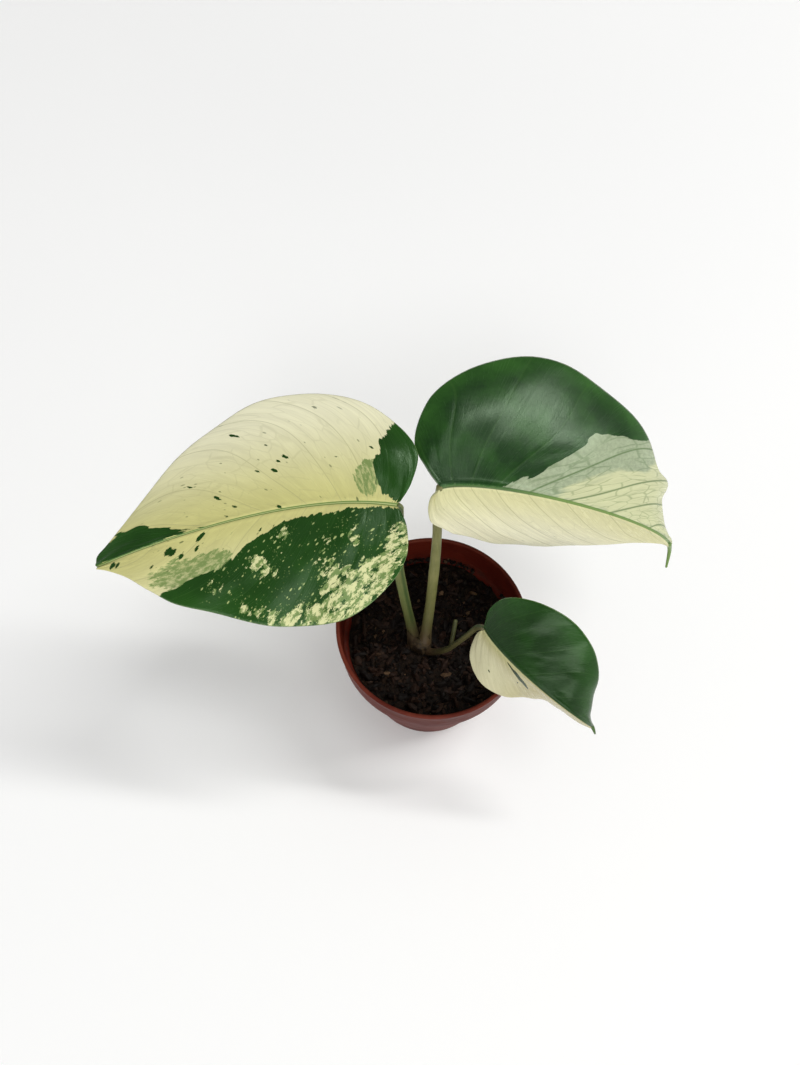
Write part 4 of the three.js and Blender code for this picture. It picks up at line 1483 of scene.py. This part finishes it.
LEFT_LEAF = Blade(
    name="leaf_left",
    slot=Slot.CREAM_LEAF,
    finish=LeafFinish(
        name="leaf_left_skin", cream=srgb(232, 229, 198), cream_inner=srgb(193, 189, 124),
        inner_reach=30.0, green=srgb(24, 58, 14), green_edge=srgb(34, 74, 20),
        midrib_pale=srgb(190, 196, 136), fleck_share=0.1, vein_strength=0.4,
    ),
    midrib=[(-10.9, 7.9, 115), (-34.9, 10.9, 116.5), (-67.1, 1.6, 111.5), (-89.1, -2.9, 101)],
    roll=(-12, -6),
    rib=(1.25, 0.6),
    left=BladeHalf(
        fold=(-2, 4), curl=(0.9, 0.9), wave=0.5, sweep=(0.2, 3.0),
        margin=[
            (-1, 1.2), (-3.2, 5.5), (-3.9, 12.5), (-1, 19.5), (5, 25.6), (13.5, 29.3), (24.2, 30.5),
            (35, 29.2), (45, 25.7), (54.5, 20.7), (62.8, 16.1), (68, 11.3), (72.8, 6.2), (78, 2.4),
            (81.3, 0.7),
        ],
    ),
    right=BladeHalf(
        fold=(-6, 0), curl=(0.5, 0.6), wave=0.4, sweep=(0.2, 4.0),
        margin=[
            (-1, 1.2), (-3.3, 6.5), (-3.9, 14.5), (2.1, 21.9), (9.9, 28.1), (21, 32.3), (32, 32.2),
            (43, 28.3), (53, 22.4), (63, 15.3), (72.2, 7.8), (77.6, 4.7), (80.6, 2.7), (81.3, 0.7),
        ],
    ),
    green=[
        [
            (2.3, -21.9), (3.2, -21), (4.1, -18.3), (5.6, -15.4), (5.2, -12.7), (6.2, -11), (5.9, -7.8),
            (5.2, -4.9), (3.6, -2.5), (2.4, -2.3), (0.7, -0.9), (-4, -0.2), (-12, -6), (-12, -26),
            (-2, -27),
        ],
        [
            (49.2, -0.3), (51.6, -0.8), (55.5, -1.3), (59.5, -3), (63.7, -4.6), (65.3, -5.9),
            (67.5, -6.6), (70, -6.1), (73.1, -6.4), (75.2, -5.2), (78, -5), (86, -4), (86, 0.2),
            (75, -0.1), (60, -0.1),
        ],
        [
            (4.1, 1), (14.3, 2.1), (26.3, 2.9), (31.7, 4.2), (37.4, 6.1), (43, 9.3), (48.5, 11.7),
            (53.3, 11.2), (57.9, 11.7), (60.8, 12.7), (64.5, 12.6), (66, 13.5), (66, 34), (0, 42),
            (-14, 20), (-10, 0.8),
        ],
    ],
    bulges=[(11, 8, 6.5, 0.8), (4.5, -13.5, 5, 0.7)],
    splashes=[
        (0.2, 14.3, 5, 0.6), (4.7, 19.1, 5, 0.75), (9.8, 22.5, 5, 0.8), (15.4, 20.1, 4.5, 0.6),
        (-1.3, 8.5, 3.5, 0.5), (14.6, 27.5, 5, 0.75), (21.8, 26.9, 4.5, 0.7), (30.2, 27.6, 4, 0.65),
        (37.5, 27, 4, 0.6), (44.2, 23.2, 4, 0.5), (-1.3, 4.6, 2.5, 0.6), (38.6, 11.9, 3, 0.7),
        (35.5, 14.3, 3, 0.55), (29.7, 5.7, 2.5, 0.5), (12.5, 4.7, 2.5, 0.3), (17.7, 9, 2.5, 0.4),
        (10.7, 9.8, 3, 0.35), (51.2, 15.1, 3, 0.45), (31.5, 9.4, 2.5, 0.35), (7.4, 8.1, 5, 0.25),
        (20.1, 15.4, 5, 0.3), (30, 18, 16, 0.24), (12, 12, 14, 0.16), (48, 15, 8, 0.22),
        (8, 26, 3.5, 0.6), (13, 30, 3.5, 0.7), (20, 31.5, 3.5, 0.7), (27, 32, 3.5, 0.6),
        (34, 31.5, 3, 0.5), (2, 21.5, 3, 0.5), (-3.5, 13, 2.5, 0.5), (-2.9, 8, 2, 0.5),
    ],
    marbling=[
        (47.1, 9.3, 3.4, 0.7), (52.1, 9.7, 3, 0.8), (56.9, 8.9, 3, 0.8), (62.1, 9.6, 2.6, 0.7),
        (66.4, 8.8, 2, 0.5), (50, 10.5, 4, 0.8), (60.5, 10.8, 4, 0.8), (7.6, -6.6, 2.6, 2.0),
        (7.2, -3.6, 1.6, 1.2), (7.4, -9.4, 1.7, 1.2),
    ],
    flecks=[
        (39.1, -23.6, 0.5, 1), (37.5, -22.8, 0.45, 0.8), (26.9, -14, 0.65, 1), (29.7, -10.7, 0.6, 1),
        (28.6, -13.1, 0.5, 0.9), (33.8, -11.3, 0.45, 0.9), (44.9, -6.8, 0.65, 1), (43.8, -8.2, 0.4, 0.8),
        (47.9, -25.9, 0.45, 0.9), (41, -3.5, 0.5, 0.9), (6.9, -14.3, 0.45, 0.9), (19.3, -27.3, 0.5, 0.9),
        (14.8, -12.3, 0.4, 0.8), (51.5, -12, 0.55, 0.9), (43.4, -1.4, 0.45, 0.8), (29.7, -0.9, 0.6, 0.9),
        (31.1, -18.2, 0.4, 0.8), (60.4, 3.1, 0.85, 1), (59, 3.8, 0.7, 1), (57.2, 5.3, 0.75, 0.9),
        (52.7, 4.6, 0.7, 0.9), (51.6, 2.2, 0.6, 1), (50.2, 1.6, 0.5, 0.9), (76.4, 1.5, 0.7, 1),
        (74.8, 1.9, 0.6, 0.9), (65.5, 5.6, 0.6, 0.8), (35.3, 4.1, 0.6, 0.8), (31.8, 3.9, 0.5, 0.7),
    ],
)

RIGHT_LEAF = Blade(
    name="leaf_right",
    slot=Slot.GREEN_LEAF,
    finish=LeafFinish(
        name="leaf_right_skin", cream=srgb(226, 222, 192), cream_inner=srgb(204, 200, 152),
        inner_reach=20.0, midrib=srgb(88, 118, 54), midrib_pale=srgb(110, 138, 74),
        midrib_base=srgb(38, 74, 28), midrib_pale_base=srgb(58, 96, 40), midrib_width=0.56,
        green=srgb(17, 46, 14), green_edge=srgb(46, 88, 32), fleck_share=0.02, vein_strength=0.5,
        vein_width=0.2,
    ),
    midrib=[(0.7, 14.8, 111.9), (12.1, 17.2, 114.5), (63.7, 13, 96), (71.3, 18.5, 70)],
    roll=(12.5, 19),
    rib=(1.25, 0.6),
    drip_tip=[(71.1, 18.3, 71), (72.6, 18.4, 65.6), (72, 14.6, 62.4)],
    left=BladeHalf(
        fold=(-5, -9), curl=(0.35, 0.05), wave=0.6, sweep=(0.03, 3.0), dome=1.2,
        margin=[
            (-1, 1.2), (-3.2, 5.6), (-5.3, 12), (-3.4, 19), (1.8, 26.6), (9.8, 34), (20, 38.2), (31, 38),
            (42, 34.7), (52, 30.1), (61, 24.2), (68.5, 18.3), (73.6, 16.4), (75.3, 13.7), (73.5, 10.4),
            (73.6, 7), (77.5, 3.8), (82, 1.7), (86.4, 0.6),
        ],
    ),
    right=BladeHalf(
        fold=(58, 74), curl=(0.85, 0.1), wave=0.15, sweep=(0.48, 1.2),
        margin=[
            (-1.3, 1.2), (-3.2, 3.8), (-3.9, 9), (-2.6, 14.6), (3.4, 19.8), (12.4, 23.1), (21, 26),
            (30, 27.2), (39.5, 25.8), (49, 22.8), (58, 18.2), (66, 12.7), (73.5, 6.6), (80, 2.4),
            (86.4, 0.6),
        ],
    ),
    green=[
        [
            (-12, 0.05), (16, 0.2), (18.9, 1.6), (22.2, 3.5), (24.7, 4.5), (28.4, 7.9), (34.2, 12),
            (38.9, 16.8), (39.3, 18.6), (40.9, 20.5), (43.9, 20.4), (49.8, 21.8), (53.1, 21.9),
            (59, 22.9), (61.1, 24.2), (66, 27), (60, 46), (-20, 46),
        ],
    ],
    mint=True,
    waves=0.6,
    lime=[[(32, 0), (36, 4), (42.1, 8), (51.4, 12.7), (60.6, 14.8), (66.2, 19.5), (80, 26), (95, 0)]],
)

SMALL_LEAF = Blade(
    name="leaf_small",
    slot=Slot.GREEN_LEAF,
    # Its cream colours are darker than the other leaves': painted shade, for this lower leaf in the shade of
    # the others. The tip colour darkens it further towards the tip, also painted shade.
    finish=LeafFinish(
        name="leaf_small_skin", cream=srgb(197, 192, 158), cream_inner=srgb(183, 178, 130),
        green=srgb(18, 44, 11), green_edge=srgb(34, 72, 22), midrib=srgb(40, 68, 26),
        midrib_pale=srgb(52, 82, 32), midrib_base=srgb(40, 68, 26), midrib_pale_base=srgb(96, 112, 62),
        painted_tip_shade=srgb(166, 157, 114), fleck_share=0.0, vein_strength=0.1, midrib_width=0.2,
        raggedness=0.3, inner_reach=7.0,
    ),
    midrib=[(14.1, -9.8, 73), (19.4, -22, 76.2), (38.9, -37.7, 76.1), (45.5, -34.1, 58)],
    roll=(30.7, 19.2),
    rib=(0.8, 0.65),
    columns=200,
    rows=52,
    vein_count=8,
    vein_depth=0.015,
    swell=0.004,
    waves=0.6,
    left=BladeHalf(
        fold=(-25, 7.7), curl=(0.12, 0.36), wave=0.3, sweep=(0.15, 2.0),
        margin=[
            (-0.7, 0.9), (-2.4, 5.5), (-1.4, 11), (2.4, 15.7), (7.5, 18.8), (13.5, 20.6), (19.5, 20.4),
            (25.2, 18.7), (30.8, 15.9), (36, 12), (40, 8), (42.6, 4.4), (45.5, 2.2), (48.7, 0.5),
        ],
    ),
    right=BladeHalf(
        fold=(47, 103), curl=(-2, 0.3), wave=0.2, sweep=(0.2, 2.0),
        margin=[
            (-0.7, 0.9), (-2.2, 5), (-1.4, 10.4), (2.4, 14.8), (7, 17.4), (12.1, 19), (17.4, 19.1),
            (22.7, 17.9), (27.5, 15.7), (32.2, 13.2), (36.8, 10.3), (41, 6.8), (45, 3), (48.7, 1),
        ],
    ),
    drip_tip=[(45.3, -34.0, 58.5), (45.8, -34.7, 57.7), (46.2, -35.7, 57.1)],
    drip_radius=0.5,
    green=[[(-12, 0.0), (60, 0.0), (60, 40), (-12, 40)]],
    flecks=[
        (12.4, -2.1, 0.6, 1), (14.2, -3.4, 0.5, 0.9), (15.6, -3.4, 0.9, 1), (17.0, -5.1, 0.75, 1),
        (18.9, -5.6, 0.9, 1), (20.5, -7.2, 0.55, 1), (17.2, -8.2, 0.5, 0.8), (7.5, -11.5, 0.4, 0.9),
    ],
)

STALK_LIGHT = StalkFinish("stalk_light", srgb(124, 122, 74), srgb(94, 96, 48), srgb(84, 70, 46))
STALK_GREEN = StalkFinish("stalk_green", srgb(112, 112, 66), srgb(80, 94, 46), srgb(78, 66, 44))
STALK_SMALL = StalkFinish("stalk_small", srgb(92, 86, 50), srgb(66, 64, 34), srgb(58, 46, 30))
STALK_STUB = StalkFinish("stalk_stub", srgb(116, 124, 74), srgb(88, 98, 54), srgb(70, 62, 40))

PETIOLES = [
    Petiole(
        "petiole_left",
        [
            (-5.3, -1.3, 40), (-6.5, 1, 48), (-8.5, 3.8, 62), (-10.1, 5.8, 77), (-10.7, 6.8, 91),
            (-10.4, 7.5, 106), (-10.5, 7.9, 113.6),
        ],
        (1.6, 1.45, 1.3), STALK_GREEN, channel_turn=-0.95,
    ),
    Petiole(
        "petiole_right",
        [
            (-2.2, -2.4, 41.8), (-1.7, 0, 46), (-0.6, 5, 59), (0.2, 10, 77), (0.4, 12.7, 89),
            (0.2, 15.2, 101), (0.5, 15.3, 111),
        ],
        (1.55, 1.48, 1.1), STALK_LIGHT, channel_turn=0.4,
    ),
    Petiole(
        "petiole_small",
        [
            (-1.4, -4.4, 38.9), (-0.2, -5.1, 40.2), (1.6, -5.9, 42.4), (4.6, -7, 48), (7.1, -7.3, 54),
            (10.1, -7.4, 62), (12.3, -7.6, 68.6), (13.8, -9.1, 72.6),
        ],
        (0.95, 0.85, 0.8), STALK_SMALL, channel_turn=2.2,
    ),
    Petiole(
        "petiole_stub", [(5.9, -4.2, 33), (6.3, -2.8, 38.5), (7, 0, 42.3), (7.7, 3, 46.4)],
        (0.8, 0.7, 0.65), STALK_STUB, channel_turn=1.6, sheath=0.0,
    ),
]

SHEATHS = [
    Sheath("sheath_left", (-5.2, -1.8, 39.2), (-0.1, 0.25, 1), radius=2.5, height=8.5, split=0.4),
    Sheath("sheath_right", (-2.3, -2.6, 39.4), (0.05, 0.35, 1), radius=2.5, height=7.5, split=2.6),
    Sheath("sheath_middle", (-3.3, -1.9, 40.0), (0.06, 0.3, 1), radius=2.3, height=7.0, split=4.4),
]


@dataclass(frozen=True)
class Lamp:
    """A flat soft light that faces the plant.

    It stands at a bearing, in degrees from the back towards the right, at a height in degrees over the
    horizon, and at a distance in metres. Its size is width and height in metres, its power is in watts,
    and the lean turns it in its own plane, in degrees.
    """

    name: str
    bearing: float
    height: float
    distance: float
    size: tuple[float, float]
    power: float
    colour: Colour = (1.0, 1.0, 1.0)
    lean: float = 0.0

    def build(self, aim_height: float) -> None:
        """Makes the light, aimed at a height on the plant's axis."""
        data = bpy.data.lights.new(self.name, "AREA")
        data.shape, data.energy, data.color = "RECTANGLE", self.power, self.colour
        data.size, data.size_y = self.size
        lamp = bpy.data.objects.new(self.name, data)
        turn, lift = math.radians(self.bearing), math.radians(self.height)
        level = self.distance * math.cos(lift)
        rise = aim_height + self.distance * math.sin(lift)
        lamp.location = (level * math.sin(turn), level * math.cos(turn), rise)
        facing = Matrix.Rotation(math.pi - turn, 3, "Z") @ Matrix.Rotation(math.pi / 2 - lift, 3, "X")
        lamp.rotation_euler = (facing @ Matrix.Rotation(math.radians(self.lean), 3, "Z")).to_euler()
        bpy.context.scene.collection.objects.link(lamp)


LAMPS = (
    Lamp("long_light", 74, 54, 2.2, (0.14, 1.6), 24, (1.0, 1.0, 0.98), lean=-27),
    Lamp("front_light", -178, 17, 2.0, (2.4, 0.5), 18, (1.0, 0.99, 0.97)),
    Lamp("high_light", 180, 50, 2.4, (0.9, 0.7), 8),
    Lamp("top_light", 122, 79, 2.4, (0.6, 0.6), 5),
)


@dataclass
class Studio:
    """Plain pale floor, soft light and the camera at the photograph's viewing angle.

    The reflection of the long light is the sheen on the leaves. Lengths are in metres here, and the
    sensor's height in millimetres.
    """

    lamps: tuple[Lamp, ...] = LAMPS
    aim_height: float = 0.08
    camera_place: Point = (-0.010, -0.100, 0.315)
    camera_tilt: float = 26.6
    focal_pixels: float = 900.0
    image_height: float = 1065.0
    sensor: float = 36.0
    floor_size: float = 14.0
    floor_colour: Colour = (0.96, 0.96, 0.96)
    glow_heights: tuple[float, float] = (10.0, 34.0)
    glow: tuple[float, float] = (0.85, 0.29)

    def build(self) -> None:
        """Camera, floor and lights."""
        self.build_camera()
        self.build_floor()
        self.build_surround()
        for lamp in self.lamps:
            lamp.build(self.aim_height)
        bpy.context.scene.view_settings.view_transform = "Standard"

    def build_camera(self) -> None:
        """The camera, with the lens that gives the photograph's focal length in pixels."""
        data = bpy.data.cameras.new("camera")
        data.sensor_fit = "VERTICAL"
        data.sensor_height = self.sensor
        data.lens = self.sensor * self.focal_pixels / self.image_height
        data.clip_start, data.clip_end = 0.01, 10.0
        camera = bpy.data.objects.new("camera", data)
        camera.location = self.camera_place
        camera.rotation_euler = (math.radians(self.camera_tilt), 0, 0)
        bpy.context.scene.collection.objects.link(camera)
        bpy.context.scene.camera = camera

    def build_floor(self) -> None:
        """A large pale sheet under the pot."""
        half = self.floor_size / 2
        mesh = bpy.data.meshes.new("floor")
        corners = [(-half, -half, 0), (half, -half, 0), (half, half, 0), (-half, half, 0)]
        mesh.from_pydata(corners, [], [(0, 1, 2, 3)])
        floor = bpy.data.objects.new("floor", mesh)
        bpy.context.scene.collection.objects.link(floor)
        floor.data.materials.append(Material("pale_floor").dress(self.floor_colour, 0.8))

    def build_surround(self) -> None:
        """A surround that glows low down, and less above, with a smooth ramp between two heights."""
        world = bpy.data.worlds.new("surround")
        bpy.context.scene.world = world
        world.use_nodes = True
        n = Nodes(world.node_tree)
        up = n.split(n.output("Generated", "ShaderNodeTexCoord"))[2]
        low, high = (math.sin(math.radians(height)) for height in self.glow_heights)
        glow = n.mix(n.ramp(up, low, high), (self.glow[0],) * 3, (self.glow[1],) * 3)
        n.feed(world.node_tree.nodes["Background"].inputs["Color"], glow)


def main() -> None:
    """Builds the studio, the plant, its soil and its pot."""
    logging.basicConfig(level=logging.INFO)
    Studio().build()
    add_ragged_mask()
    add_vein_lines()
    add_flecks()
    for grown in (LEFT_LEAF, RIGHT_LEAF, SMALL_LEAF, *PETIOLES):
        grown.build()
    Crown(SHEATHS).build()
    soil = Soil()
    soil.build()
    Bark(soil).build()
    Pot().build()


if __name__ == "__main__":
    main()
